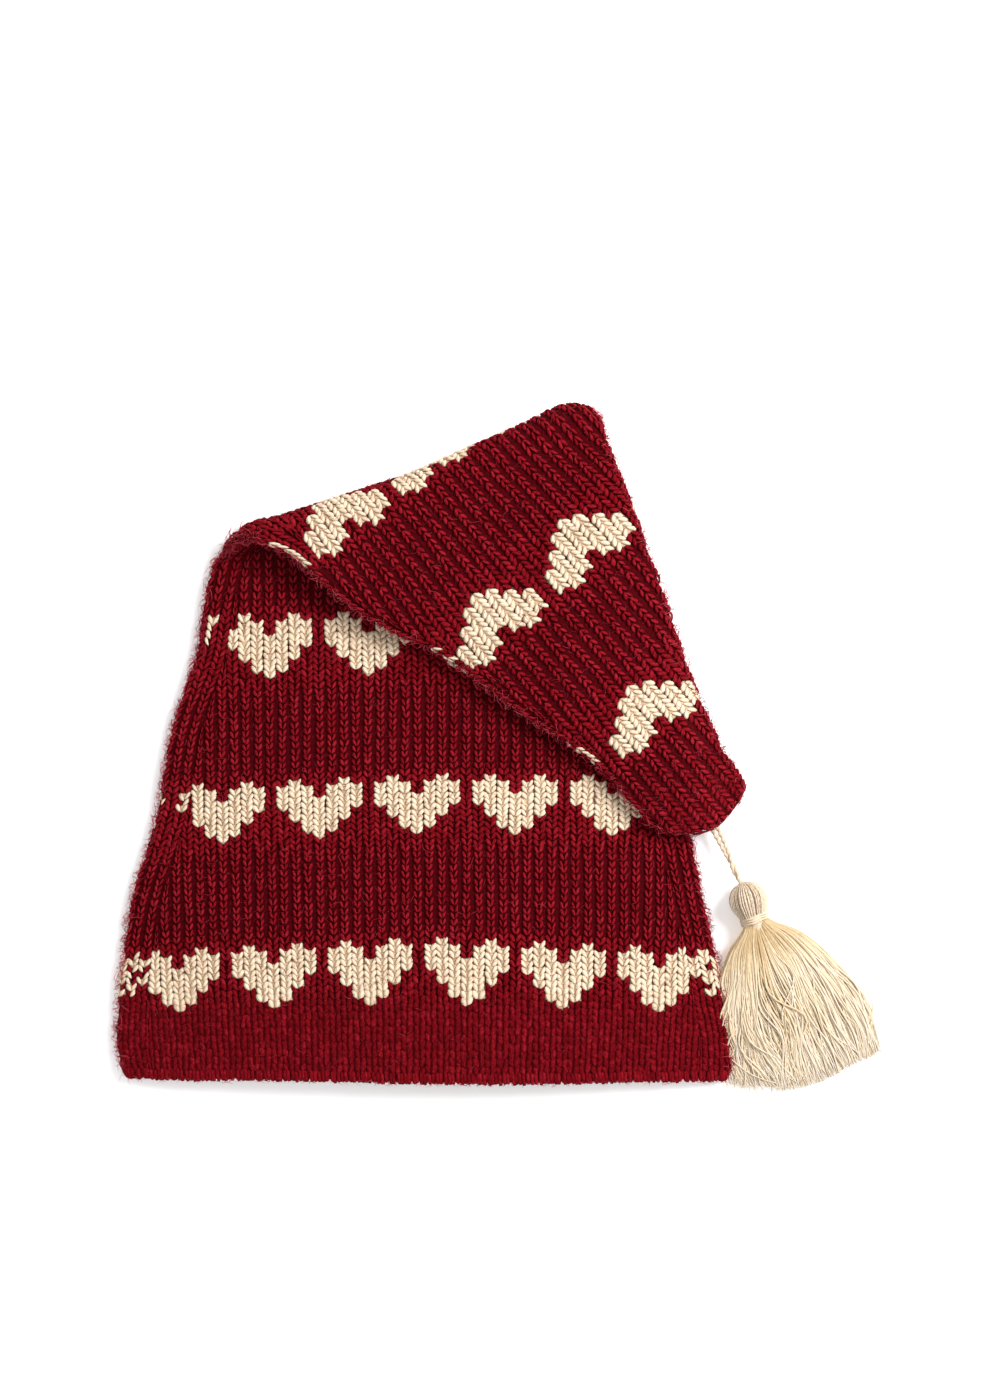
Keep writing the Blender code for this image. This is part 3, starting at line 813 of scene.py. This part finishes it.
# One leg of a stitch from its foot to its top, as (aside, up, height, half width): aside and half width are
# in wales, up is in rows, and height is above the surface, in millimetres.
LEG_FINE = (
    (0.02, -0.32, -0.95, 0.0),
    (0.100, -0.07, -0.54, 0.110),
    (0.190, 0.22, -0.34, 0.168),
    (0.278, 0.60, -0.38, 0.185),
    (0.335, 0.96, -0.70, 0.145),
    (0.368, 1.28, -1.15, 0.0),
)
LEG_PLAIN = (
    (0.02, -0.32, -0.95, 0.0),
    (0.15, 0.08, -0.42, 0.15),
    (0.270, 0.58, -0.40, 0.18),
    (0.335, 0.98, -0.75, 0.14),
    (0.368, 1.30, -1.15, 0.0),
)
LEG_HALF_HEIGHT = 0.42
# A flat pad under a cream stitch, so that no red shows through between its legs; its darker cream is painted
# shade between the legs
PAD = (
    (0.0, -0.45, -1.05, 0.0),
    (0.0, -0.15, -0.98, 0.42),
    (0.0, 0.75, -0.98, 0.50),
    (0.0, 1.05, -1.05, 0.0),
)


def leg_mesh(profile, angles):
    """A right leg: its points as (middle, across, up, height, cosine, sine), and its faces."""
    rings = profile[1:-1]
    angles = np.radians(angles)
    points = []
    for aside, up, height, half_width in rings:
        for angle in angles:
            cosine, sine = math.cos(angle), math.sin(angle)
            thick = LEG_HALF_HEIGHT * sine * min(1.0, half_width / 0.12)
            points.append((aside, half_width * cosine, up, height + thick, cosine, sine))
    for aside, up, height, _ in (profile[0], profile[-1]):
        points.append((aside, 0.0, up, height, 0.0, 0.0))
    quads, triangles = tube_faces(len(rings), len(angles))
    return np.array(points), quads[:, ::-1], triangles[:, ::-1]


FINE_LEG = leg_mesh(LEG_FINE, (90, 155, 235, 305, 25))
PLAIN_LEG = leg_mesh(LEG_PLAIN, (90, 210, 330))
PAD_SHAPE = leg_mesh(PAD, (90, 180, 270, 360))


def edge_lumps(c, y):
    """How far the surface swells or sinks beside the side edges, in millimetres."""
    left, right = panel_ends(np.clip(y, 0, HAT_LENGTH))
    near = np.exp(-np.minimum(c - left, right - c) / 0.004)
    on_left = c - left < right - c
    at = y / MILLIMETRE + np.where(on_left, 0, 31.0)
    wave = np.sin(at / 2.1 + 1.3 * np.sin(at / 9.0)) + 0.8 * np.sin(at / 5.3 + 2.0) + 0.5 * np.sin(at / 1.3)
    return EDGE_LUMPS * near * (wave / 2.0 + 0.15)


def stitch_meshes(stitches, cream, front, leg, draw, hands=(-1, 1)):
    """Points, faces, tones and grain of the red or the cream legs of many stitches on one panel."""
    shape, quads, triangles = leg
    middle, across_leg, along, raised, cosine, sine = shape.T
    each = len(shape)
    # Painted light and shade: the higher points of each leg get a lighter tone, and its low ends, where it
    # dives under its neighbours, a darker one
    lit = np.clip((raised + 1.1) / 1.0, 0, 1)
    parts = []
    start = 0
    for hand in hands:
        part = stitches[stitches[:, 3 if hand < 0 else 4] == cream]
        count = len(part)
        wale, side, row = (part[:, k][:, None] for k in range(3))
        rib = ribbing(row)
        hem = 1 - smooth_step((row - HEM_ROWS + 4) / 5.0)
        width = STITCH_WIDTH - RIB_NARROWS * rib - HEM_NARROWS * hem
        bulk = 1 + BULK_SPREAD * draw.standard_normal((count, 1))
        shift = ASIDE_SPREAD * draw.standard_normal((count, 1))
        slip = UP_SPREAD * draw.standard_normal((count, 1))
        sink = HEIGHT_SPREAD * draw.standard_normal((count, 1))
        shade = draw.random((count, 1))
        steep = middle * (1 - 0.45 * hem) + 0.45 * 0.25 * hem
        wide = across_leg * bulk * (1 + HEM_WIDENS_LEG * hem + RIB_WIDENS_LEG * rib)
        aside = hand * (steep + wide) * width + shift
        up = 0.45 + (along - 0.45) * (1 - RIB_SHORTENS_LEG * rib) + slip
        height = raised * (1 - 0.35 * hem) - 0.16 * hem + RIB_RISES * rib - RIB_FALLS * rib * aside**2 + sink
        c, y = stitch_place(wale, side, row + up, aside)
        height = height + edge_lumps(c, y)
        points = panel_point(c, np.clip(y, -0.002, HAT_LENGTH), front, height * MILLIMETRE)
        # The tone: the painted light and shade of lit, with less contrast in the hem, plus a random tone for
        # each stitch drawn in shade
        tone = 0.16 + (0.48 - 0.28 * hem) * lit[None] + 0.35 * (shade - 0.3) - 0.12 * (1 - rib) + 0.07 * hem
        grain_round = GRAIN_ROUND * cosine + 11.0 * shade
        grain_along = 2.2 * GRAIN_ALONG * along + 5.0 * shade
        grain_up = GRAIN_ROUND * sine + 3.0 * shade
        flip = (hand < 0) != (not front)
        parts.append((
            points.reshape(-1, 3),
            repeated(quads, count, each, flip) + start,
            repeated(triangles, count, each, flip) + start,
            np.broadcast_to(tone, (count, each)).ravel(),
            np.stack([grain_round, grain_along, grain_up], axis=-1).reshape(-1, 3),
        ))
        start += count * each
    return tuple(np.concatenate(column) for column in zip(*parts))


def pattern_wale(stitches):
    """The wale of the pattern that each stitch belongs to."""
    wale, side, row = stitches.T
    c, y = stitch_place(wale, side, row, 0.0)
    middle, pitch = middle_and_pitch(y / MILLIMETRE)
    by_place = np.round((c - middle) / pitch)
    return np.where(side == 0, wale, by_place)


def kept_cream(stitches, draw):
    """False for the cream legs of stitches that the narrowing beside the side edges has swallowed."""
    wale, side, row = stitches.T
    number = np.round((row - HEART_ROWS[0]) / ROWS_EACH).astype(int)
    number = np.clip(number, 0, len(HEART_ROWS) - 1)
    low, high, _ = wale_span(wale, side, row)
    beside_edge = (side != 0) | (high - low < 0.8 * SIDE_PITCH)
    kept = draw.random((len(stitches), 2)) < np.array(EDGE_CREAM)[number][:, None]
    return ~beside_edge[:, None] | kept


def in_parts(stitches, most):
    """Splits stitches by row into parts of at most so many."""
    order = np.argsort(stitches[:, 2], kind="stable")
    parts = math.ceil(len(stitches) / most)
    return np.array_split(stitches[order], max(parts, 1))


def cream_legs(stitches, draw):
    """Whether the left and the right leg of each stitch are cream: in the hearts, and in the patches."""
    wale, side, row = stitches.T
    c, y = stitch_place(wale, side, row, 0.0)
    left, right = panel_ends(y)
    cream = heart_colour(pattern_wale(stitches), row)[:, None] & kept_cream(stitches, draw)
    for first, last, edge, nearest, farthest, share in PATCHES:
        from_edge = np.where(edge < 0, c - left, right - c) / MILLIMETRE
        inside = (row >= first) & (row < last) & (from_edge >= nearest) & (from_edge < farthest)
        cream |= inside[:, None] & (draw.random((len(stitches), 2)) < share)
    return cream


def make_stitches(red, cream, pad):
    """All the stitches, on both panels, finer where the photograph shows them."""
    draw = np.random.default_rng(STITCH_SEED)
    stitches = all_stitches()
    c, y = stitch_place(*stitches.T, 0.0)
    past = to_crease(c, y)[1]
    left, right = panel_ends(y)
    near_edge = np.minimum(c - left, right - c) < 0.012
    is_cream = cream_legs(stitches, draw)
    stitches = np.concatenate([stitches, is_cream], axis=1)
    shown_front = (past < 0.004) & ~covered(c, y, 0.012)
    hidden_front = (past >= 0.004) & near_edge
    shown_back = past > -0.018
    groups = (
        ("front", True, shown_front, FINE_LEG, FINE_EACH),
        ("lining_side", True, hidden_front, PLAIN_LEG, PLAIN_EACH),
        ("flap", False, shown_back, FINE_LEG, FINE_EACH),
        ("under", False, ~shown_back, PLAIN_LEG, PLAIN_EACH),
    )
    for name, front, chosen, leg, most in groups:
        for colour, material in (("red", red), ("cream", cream)):
            light = colour == "cream"
            mask = (is_cream == light).any(axis=1)
            for number, part in enumerate(in_parts(stitches[chosen & mask], most)):
                if len(part) == 0:
                    continue
                points, quads, triangles, tone, grain = stitch_meshes(part, light, front, leg, draw)
                mesh = points - SHIFT, quads, triangles
                tone = tone + 0.10 * light
                piece_name = f"stitches_{name}_{colour}_{number + 1}"
                make_piece(piece_name, *mesh, material, f"wool_{colour}", "knit_shell", tone, grain)
        if not name.startswith("lining"):
            under = stitches[chosen & is_cream.all(axis=1)]
            points, quads, triangles, _, _ = stitch_meshes(under, True, front, PAD_SHAPE, draw, (1,))
            mesh = points - SHIFT, quads, triangles
            make_piece(f"pads_{name}", *mesh, pad, "wool_cream", "knit_shell", 0.0)


def ring_of_shell(y, depth):
    """Points round the hat at a distance from the brim, sunk below its surface by a depth.

    They are sunk less at the side edges and in the fold, where one looks along the surface.
    """
    radius = edge_round(y)
    left, right = left_edge(y), right_edge(y)
    flat = np.linspace(-1, 1, RING_STEPS + 1)
    bend = np.radians(np.linspace(-90, 90, RING_ROUND_STEPS + 1)[1:-1])
    share = np.concatenate([flat, np.ones(len(bend)), -flat, -np.ones(len(bend))])
    under = np.full(len(flat), -math.pi / 2)
    angle = np.concatenate([under, bend, -under, bend + math.pi])
    at_side = np.abs(np.cos(angle))
    x = (left + radius) * (1 - share) / 2 + (right - radius) * (1 + share) / 2
    x = x + (radius - depth * (1 - 0.35 * at_side)) * np.cos(angle)
    at_fold = np.exp(-(to_crease(x, y)[1] / FOLD_HALF_ARC) ** 2)
    depth = depth * (1 - 0.35 * np.maximum(at_side, at_fold))
    on_top = np.sin(angle) > 0.999
    z = EDGE_RADIUS + (radius - depth) * np.sin(angle) + np.where(on_top, crown(x, y), 0)
    return folded(x, dipped(x, np.full(len(x), float(y))), z)


def backing_depth(y):
    """How far the backing lies below the surface: less at the tip, where stitches thin out, and the hem."""
    at_tip = float(smooth_step((y / HAT_LENGTH - 0.955) / 0.035))
    at_hem = 1 - float(smooth_step((y - 0.018) / 0.012))
    return (1.15 - 0.60 * at_tip - 0.32 * at_hem) * MILLIMETRE


def make_backing(material):
    """The hat's wall under its stitches, hollow and open at the brim: its inside first, then its outside."""
    outer_end = HAT_LENGTH - 0.6 * MILLIMETRE
    inner_end = HAT_LENGTH - 2.2 * WALL
    stations = np.linspace(0.0, 1.0, BACKING_RINGS)
    rings = [ring_of_shell(y, WALL) for y in reversed(stations * inner_end)]
    rings.append(ring_of_shell(-0.0004, 0.5 * (WALL + backing_depth(0.0))))
    rings += [ring_of_shell(y, backing_depth(y)) for y in stations * outer_end]
    mesh = closed_tube(np.array(rings) - SHIFT)
    from_brim = np.concatenate([stations[::-1] * inner_end, [0.0], stations * outer_end])
    # Painted shade, less of it at the hem: the backing's tone is lighter near the brim, where the gaps
    # between the stitches are shallow
    tone = 1 - smooth_step((from_brim - 0.020) / 0.014)
    tone = np.concatenate([np.repeat(tone, len(rings[0])), [0.0, 0.0]])
    make_piece("backing", *mesh, material, "wool_red", "knit_shell", tone)


def make_rim(material):
    """The loops that turn round the edge of the brim."""
    draw = np.random.default_rng(STITCH_SEED + 1)
    path = np.array([(2.1, -0.45), (0.5, -0.40), (-0.55, -0.75), (-0.75, -1.35), (-0.3, -2.1), (0.9, -2.45)])
    sides = 5
    lines = []
    for front in (True, False):
        left, right = panel_ends(0.0)
        count = int(round((right - left) / (WALES["pitch"][0] * MILLIMETRE) * RIM_LOOPS_EACH))
        for c in left + (np.arange(count) + 0.5) / count * (right - left):
            wobble = 0.10 * draw.standard_normal(len(path)) + 0.16 * draw.standard_normal()
            along = (path[:, 0] + wobble) * MILLIMETRE
            lift = path[:, 1] * MILLIMETRE
            places = c + np.linspace(-0.0002, 0.0004, len(path)) + 0.00025 * draw.standard_normal()
            lines.append(panel_point(places, along, front, lift) - SHIFT)
    centres = np.array(lines)
    size = np.full(centres.shape[:2], RIM_LOOP_RADIUS)
    mesh, grain = yarns(centres, size, size, np.zeros(centres.shape[:2]), sides)
    tone = 0.25 + 0.35 * np.repeat(draw.random(len(centres)), len(path) * sides + 2)
    make_piece("rim_loops", *mesh, material, "wool_red", "knit_shell", tone, grain)


def fuzz_starts(draw, number, first_y, last_y):
    """Random places on a panel, as (c, y), even over its area."""
    y = first_y + (last_y - first_y) * draw.random(4 * number)
    left, right = panel_ends(y)
    widest = BRIM_WIDTH * 1.05
    keep = draw.random(4 * number) * widest < right - left
    y = y[keep][:number]
    left, right = panel_ends(y)
    return left + (right - left) * draw.random(len(y)), y


def fibre_lines(c, y, front, rise, draw):
    """Lines of thin fibres that rise from the surface at the given places and curl back."""
    number = len(c)
    heading = TURN * draw.random((number, 1))
    length = (0.0010 + 0.0032 * draw.random((number, 1)) ** 1.5)
    share = np.array((0.0, 0.5, 1.0))[None]
    curl = (draw.random((number, 1)) - 0.5) * 3.0
    turn = heading + curl * share
    away = length * share
    along = c[:, None] + away * np.cos(turn)
    up = y[:, None] + away * np.sin(turn)
    lift = -0.0006 + (rise[:, None] + 0.0006) * np.sin(math.pi * (0.05 + 0.45 * share))
    return panel_point(along, np.clip(up, -0.004, HAT_LENGTH), front, lift)


def make_fuzz(material):
    """Loose fibres over the knitting and past its edges."""
    draw = np.random.default_rng(FUZZ_SEED)
    lines = []
    for front, first_y, last_y, number in SURFACE_FUZZ:
        c, y = fuzz_starts(draw, number, first_y * HAT_LENGTH, last_y * HAT_LENGTH)
        rise = 0.0003 + 0.0006 * draw.random(len(c)) ** 2
        lines.append(fibre_lines(c, y, front, rise, draw))
    make_fibres("fuzz_surface", lines, SURFACE_FIBRE_RADIUS, 0.0, material, draw)
    lines = []
    for front, first_y, last_y, number in EDGE_FUZZ:
        y = (first_y + (last_y - first_y) * draw.random(number)) * HAT_LENGTH
        left, right = panel_ends(y)
        inward = 0.0026 * draw.random(number)
        on_left = draw.random(number) < 0.5
        c = np.where(on_left, left + inward, right - inward)
        rise = 0.0004 + 0.0019 * draw.random(number) ** 1.4
        lines.append(fibre_lines(c, y, front, rise, draw))
    lines.append(fold_fuzz(draw, FOLD_FIBRES))
    lines.append(brim_fuzz(draw, BRIM_FIBRES))
    # The fibres at the edges start at a lighter tone than those on the surface: painted light for the glow
    # round the edges
    make_fibres("fuzz_edges", lines, EDGE_FIBRE_RADIUS, 0.35, material, draw)


def make_fibres(name, lines, size, darkest, material, draw):
    """Thin fibres as one piece, from groups of lines of three points."""
    centres = np.concatenate(lines)
    centres[..., 2] = np.maximum(centres[..., 2], 0.0001)
    size = size * (0.73 + 0.54 * draw.random((len(centres), 1))) * np.array((1.0, 1.0, 0.5))
    mesh, grain = yarns(centres - SHIFT, size, size, np.zeros_like(size), 3)
    tone = darkest + 0.65 * draw.random(len(centres))
    tone = np.repeat(tone, centres.shape[1] * 3 + 2)
    make_piece(name, *mesh, material, "wool_red", "knit_shell", tone, grain)


def fold_fuzz(draw, number):
    """Fibres that stand out along the fold."""
    along = (draw.random(number) - 0.47) * 0.62 * BRIM_WIDTH
    past = 0.006 * draw.standard_normal(number)
    c, y = from_crease(along, past)
    rise = 0.0002 + 0.0014 * draw.random(number) ** 1.6
    return fibre_lines(c, y, True, rise, draw)


def brim_fuzz(draw, number):
    """Fibres that stand out past the edge of the brim."""
    left, right = panel_ends(0.0)
    c = left + (right - left) * draw.random(number)
    share = np.array((0.0, 0.5, 1.0))[None]
    out = 0.0004 + 0.0018 * draw.random((number, 1)) ** 1.5
    sideways = 0.0022 * draw.standard_normal((number, 1))
    bend = 0.0010 * draw.standard_normal((number, 1))
    along = c[:, None] + sideways * share + bend * share**2
    up = 0.0006 - (out + 0.0006) * np.sin(0.5 * math.pi * share)
    lift = -0.0008 + 0.0008 * draw.standard_normal((number, 1)) * share
    front = draw.random(number)[:, None] < 0.6
    return panel_point(along, up, front, lift)


# The tassel


def tassel_points(down, aside, height):
    """Points in the tassel's own directions: down the skirt, to its side, and up from the floor."""
    c, s = math.cos(HEADING), math.sin(HEADING)
    x = NECK_PLACE[0] + down * c - aside * s
    y = NECK_PLACE[1] + down * s + aside * c
    return np.stack([x, y, height + 0.0 * x], axis=-1)


def skirt_section(share, half_neck):
    """How far the skirt has settled on the floor, its lowest height, and the neck's share of its highest."""
    settled = smooth_step((share - 0.05) / 0.38)
    bottom = (NECK_HEIGHT - half_neck) * (1 - settled) + SETTLED_HEIGHT * settled
    return settled, bottom, (NECK_HEIGHT + half_neck) * (1 - settled)


def make_skirt(material):
    """The yarns of the skirt, tied at the neck and spread on the floor."""
    draw = np.random.default_rng(TASSEL_SEED)
    number = SKIRT_YARNS
    angle = TURN * draw.random(number)
    from_middle = np.sqrt(draw.random(number))
    place = from_middle * np.cos(angle)
    layer = (0.5 + 0.5 * from_middle * np.sin(angle)) ** 0.36
    place = np.sign(place) * np.abs(place) ** 0.8
    reach = curve_through(REACH, "side", "reach", place)
    length = SKIRT_LENGTH * reach * (1 - 0.10 * draw.random(number) ** 2)
    place, layer = place[:, None], layer[:, None]
    start = -0.0010
    share = np.linspace(0, 1, SKIRT_STEPS)[None]
    down = start + share * (length[:, None] - start)
    spread = curve_through(FLARE, "down", "spread", down / SKIRT_LENGTH)
    wide = place * (SKIRT_WIDTH / 2 * spread - 0.0004)
    settled, bottom, neck = skirt_section(share, 0.0030)
    top = neck + settled * LOCK_HEIGHT * (1.55 - 0.35 * share)
    top = top * (1 - 0.30 * place**2 * settled) * (1 - 0.62 * smooth_step((share - 0.55) / 0.45))
    height = bottom + layer * (top - bottom)
    free = smooth_step((share - 0.12) / 0.5)
    loose = np.where(draw.random((number, 1)) < LOOSE_YARNS, LOOSE_WAVES, 1.0)
    for waves, size, own in YARN_WAVES:
        together = 0.9 * place * waves + 0.5 * layer * waves
        phase = TURN * (together + own * draw.random((number, 2)))
        pace = waves * (0.85 + 0.3 * draw.random((number, 1)))
        turn = TURN * pace * share
        strength = size * (0.5 + draw.random((number, 1))) * free * loose * (1.05 - 0.45 * place)
        wide = wide + strength * np.sin(turn + phase[:, :1])
        height = height + 0.14 * strength * np.sin(turn + phase[:, 1:])
    height = np.maximum(height, LOWEST_YARN)
    centres = tassel_points(down, wide, height) - SHIFT
    thinner = 1 - 0.45 * smooth_step((share - 0.85) / 0.15)
    thickness = YARN_RADIUS * (0.75 + 0.5 * draw.random((number, 1))) * thinner
    turns = TURN * (SKIRT_YARN_TURNS * share + draw.random((number, 1)))
    mesh, grain = yarns(centres, thickness, 0.9 * thickness, turns, 4)
    along = np.concatenate([np.repeat(share[0], 4), [0.0, 1.0]])[None]
    # Painted shade: the deeper yarns of the skirt, and all of them near the neck, get a darker tone
    at_neck = 1 - smooth_step(along / 0.42)
    tone = -0.02 + 0.54 * layer + 0.40 * draw.random((number, 1)) - 0.70 * at_neck
    tone = tone - 0.30 * np.exp(-((place + 0.14) / 0.13) ** 2) * (1 - 0.6 * along)
    tone = tone + 0.16 * smooth_step((along - 0.55) / 0.45)
    make_piece("tassel_yarns", *mesh, material, "wool_cream", "tassel", tone.ravel(), grain)


def make_filling(material):
    """The mass of yarn inside the skirt, under the yarns that are made one by one; its golden wool is
    painted warm shade between the yarns.
    """
    down = np.linspace(0.0, 0.87, 22) * SKIRT_LENGTH
    place = np.linspace(-1, 1, 17)
    share = down / SKIRT_LENGTH
    spread = curve_through(FLARE, "down", "spread", share)
    grid_down, grid_place = np.meshgrid(down, place, indexing="ij")
    wide = grid_place * (SKIRT_WIDTH / 2 * spread * 0.93)[:, None]
    reach = curve_through(REACH, "side", "reach", grid_place)
    flatter = 1 - 0.62 * smooth_step((share - 0.45) / 0.45)
    settled, bottom, neck = skirt_section(share, 0.0022)
    top = neck + settled * LOCK_HEIGHT * 1.08 * flatter
    full = np.sqrt(np.maximum(1 - grid_place**2, 0))
    middle = (0.5 * (top + bottom))[:, None]
    half = (0.5 * (top - bottom))[:, None] * full
    upper = tassel_points(grid_down * reach, wide, middle + half)
    lower = tassel_points(grid_down * reach, wide, middle - half)
    rings = np.concatenate([upper, lower[:, -2:0:-1]], axis=1)
    mesh = closed_tube(rings - SHIFT)
    make_piece("tassel_filling", *mesh, material, "wool_cream", "tassel", 0.4)


def head_outline(share):
    """The radius of the head and its place down the tassel, from its top at 0 to under the binding at 1."""
    polar = math.radians(90) * np.minimum(share / 0.5, 1)
    below = np.clip((share - 0.5) / 0.5, 0, 1)
    radius = HEAD_RADIUS * np.sin(polar) - (HEAD_RADIUS - HEAD_END_RADIUS) * smooth_step(below)
    down = -HEAD_TO_NECK - HEAD_RADIUS * np.cos(polar) + HEAD_TO_NECK * below
    return radius, down


def make_head(material):
    """The yarns that run down the round head, from the cord to the neck, with a closed core under them."""
    draw = np.random.default_rng(TASSEL_SEED + 1)
    number = HEAD_YARNS
    share = np.linspace(0.03, 1.0, HEAD_STEPS)
    around = TURN * (np.arange(number) + 0.35 * draw.standard_normal(number)) / number
    radius, down = head_outline(share)
    angle = around[:, None] + 0.30 * (share[None] - 0.5) + 0.04 * draw.standard_normal((number, 1))
    swell = 1 + 0.03 * draw.standard_normal((number, 1))
    aside = radius[None] * swell * np.cos(angle)
    height = NECK_HEIGHT + radius[None] * swell * np.sin(angle)
    centres = tassel_points(down[None] + 0 * angle, aside, np.maximum(height, 0.0006)) - SHIFT
    size = np.broadcast_to(0.00016 + 0.00022 * radius / HEAD_RADIUS, angle.shape)
    turns = TURN * (HEAD_YARN_TURNS * share[None] + draw.random((number, 1)))
    mesh, grain = yarns(centres, size, 0.8 * size, turns, 4)
    tone = 0.25 + 0.35 * draw.random((number, 1)) * np.ones((1, HEAD_STEPS * 4 + 2))
    make_piece("tassel_head_yarns", *mesh, material, "wool_cream", "tassel", tone.ravel(), grain)
    radius, down = head_outline(np.linspace(0, 1, 16)[1:])
    size = np.append(0.90 * radius, 0.8 * NECK_RADIUS)[None]
    line = tassel_points(np.append(down, CORE_END), 0.0, NECK_HEIGHT) - SHIFT
    mesh, _ = yarns(line[None], size, size, np.zeros_like(size), 16)
    make_piece("tassel_core", *mesh, material, "wool_cream", "tassel", 0.2)


def make_binding(material):
    """The yarn wound round the neck."""
    steps = 90
    share = np.linspace(0, 1, steps)
    angle = TURN * BINDING_TURNS * share - 0.6
    radius = NECK_RADIUS + BINDING_GAP + 0.5 * BINDING_YARN
    down = (share - 0.5) * (BINDING_WIDTH - BINDING_YARN)
    centres = tassel_points(down, radius * np.cos(angle), NECK_HEIGHT + radius * np.sin(angle)) - SHIFT
    size = np.full((1, steps), 0.5 * BINDING_YARN)
    turns = TURN * BINDING_YARN_TURNS * share[None]
    mesh, grain = yarns(centres[None], size, 0.62 * size, turns, 8)
    make_piece("binding", *mesh, material, "wool_cream", "tassel_wrap", 0.3, grain)


def make_cord(material):
    """The two strands of the cord, twisted round each other."""
    start = np.array(CORD_START)
    head = tassel_points(np.array(-HEAD_TO_NECK), np.array(0.0), np.array(NECK_HEIGHT))
    way = head - start
    way /= np.linalg.norm(way)
    end = head - way * (HEAD_RADIUS - 0.0004)
    start = start - way * 0.0012
    steps = 60
    share = np.linspace(0, 1, steps)
    line = start + (end - start) * share[:, None]
    line = line + np.sin(math.pi * share)[:, None] * np.array(CORD_BEND)
    _, side, up = frames_along(line[None])
    centres = []
    for hand in (-1, 1):
        angle = TURN * CORD_TWIST * smooth_step((share - 0.45) / 0.5)
        reach = hand * (0.00040 * (1 - smooth_step((share - 0.1) / 0.5)) + 0.00052)
        sideways = (reach * np.cos(angle))[:, None] * side[0]
        centres.append(line + sideways + (reach * np.sin(angle))[:, None] * up[0])
    centres = np.array(centres) - SHIFT
    size = np.broadcast_to(0.00094 - 0.00018 * share, centres.shape[:2])
    turns = np.broadcast_to(TURN * CORD_YARN_TURNS * share, size.shape)
    mesh, grain = yarns(centres, size, 0.7 * size, turns, 8)
    make_piece("cord_strands", *mesh, material, "wool_cream", "tassel_cord", 0.25, grain)


# Floor, light and camera


def make_floor():
    mesh = bpy.data.meshes.new("floor")
    size = FLOOR_SIZE
    corners = [(-size, -size, 0), (size, -size, 0), (size, size, 0), (-size, size, 0)]
    mesh.from_pydata(corners, [], [(0, 1, 2, 3)])
    floor = add_object("floor", mesh)
    floor.location.z = -FLOOR_BELOW
    material, _ = add_material("floor", {
        "Base Color": (*FLOOR_COLOUR, 1.0),
        "Roughness": 0.9,
        "Emission Color": (1.0, 1.0, 1.0, 1.0),
        "Emission Strength": FLOOR_GLOW,
    })
    mesh.materials.append(material)


def make_light():
    """A bright room, and one soft lamp that aims at the middle of the hat."""
    world = bpy.data.worlds.new("studio")
    bpy.context.scene.world = world
    world.use_nodes = True
    set_inputs(world.node_tree.nodes["Background"], {"Color": (1.0, 1.0, 1.0, 1.0), "Strength": ROOM_LIGHT})
    light = bpy.data.lights.new("key", "AREA")
    light.shape = "DISK"
    light.size = KEY_SIZE
    light.energy = KEY_POWER
    item = add_object("key", light)
    item.location = KEY_PLACE
    item.rotation_mode = "QUATERNION"
    item.rotation_quaternion = (-Vector(KEY_PLACE)).to_track_quat("-Z", "Y")
    bpy.context.scene.view_settings.view_transform = "Standard"


def make_camera():
    camera = bpy.data.cameras.new("camera")
    camera.sensor_width = SENSOR
    camera.lens = SENSOR * CAMERA_HEIGHT / FRAME_LONG_SIDE
    item = add_object("camera", camera)
    item.location = (*CAMERA_OVER, CAMERA_HEIGHT)
    bpy.context.scene.camera = item


def frame_shift():
    """How far the flat hat's own origin lies from the frame's, from the corners of the CAD node."""
    y = np.linspace(0, HAT_LENGTH, 400)
    lowest_x = np.inf
    lowest_y = np.inf
    for share in np.linspace(0, 1, 60):
        left, right = panel_ends(y)
        for front in (True, False):
            points = panel_point(left + share * (right - left), y, front, 0.0)
            lowest_x = min(lowest_x, points[:, 0].min())
            lowest_y = min(lowest_y, points[:, 1].min())
    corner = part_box("knit_shell")[0]
    return np.array((lowest_x - corner.x, lowest_y - RIM_BULGE - corner.y, 0.0))


SHIFT = frame_shift()


def main():
    head_wool = wool("head_wool")
    red_wool = wool("red_wool")
    make_camera()
    make_light()
    make_floor()
    make_backing(wool("painted_shade_red_wool"))
    make_stitches(red_wool, wool("cream_wool"), wool("shaded_cream_wool"))
    make_fuzz(wool("fibre"))
    make_rim(red_wool)
    make_filling(wool("shaded_tassel_wool"))
    make_skirt(wool("tassel_wool"))
    make_head(head_wool)
    make_binding(head_wool)
    make_cord(wool("cord_wool"))


main()
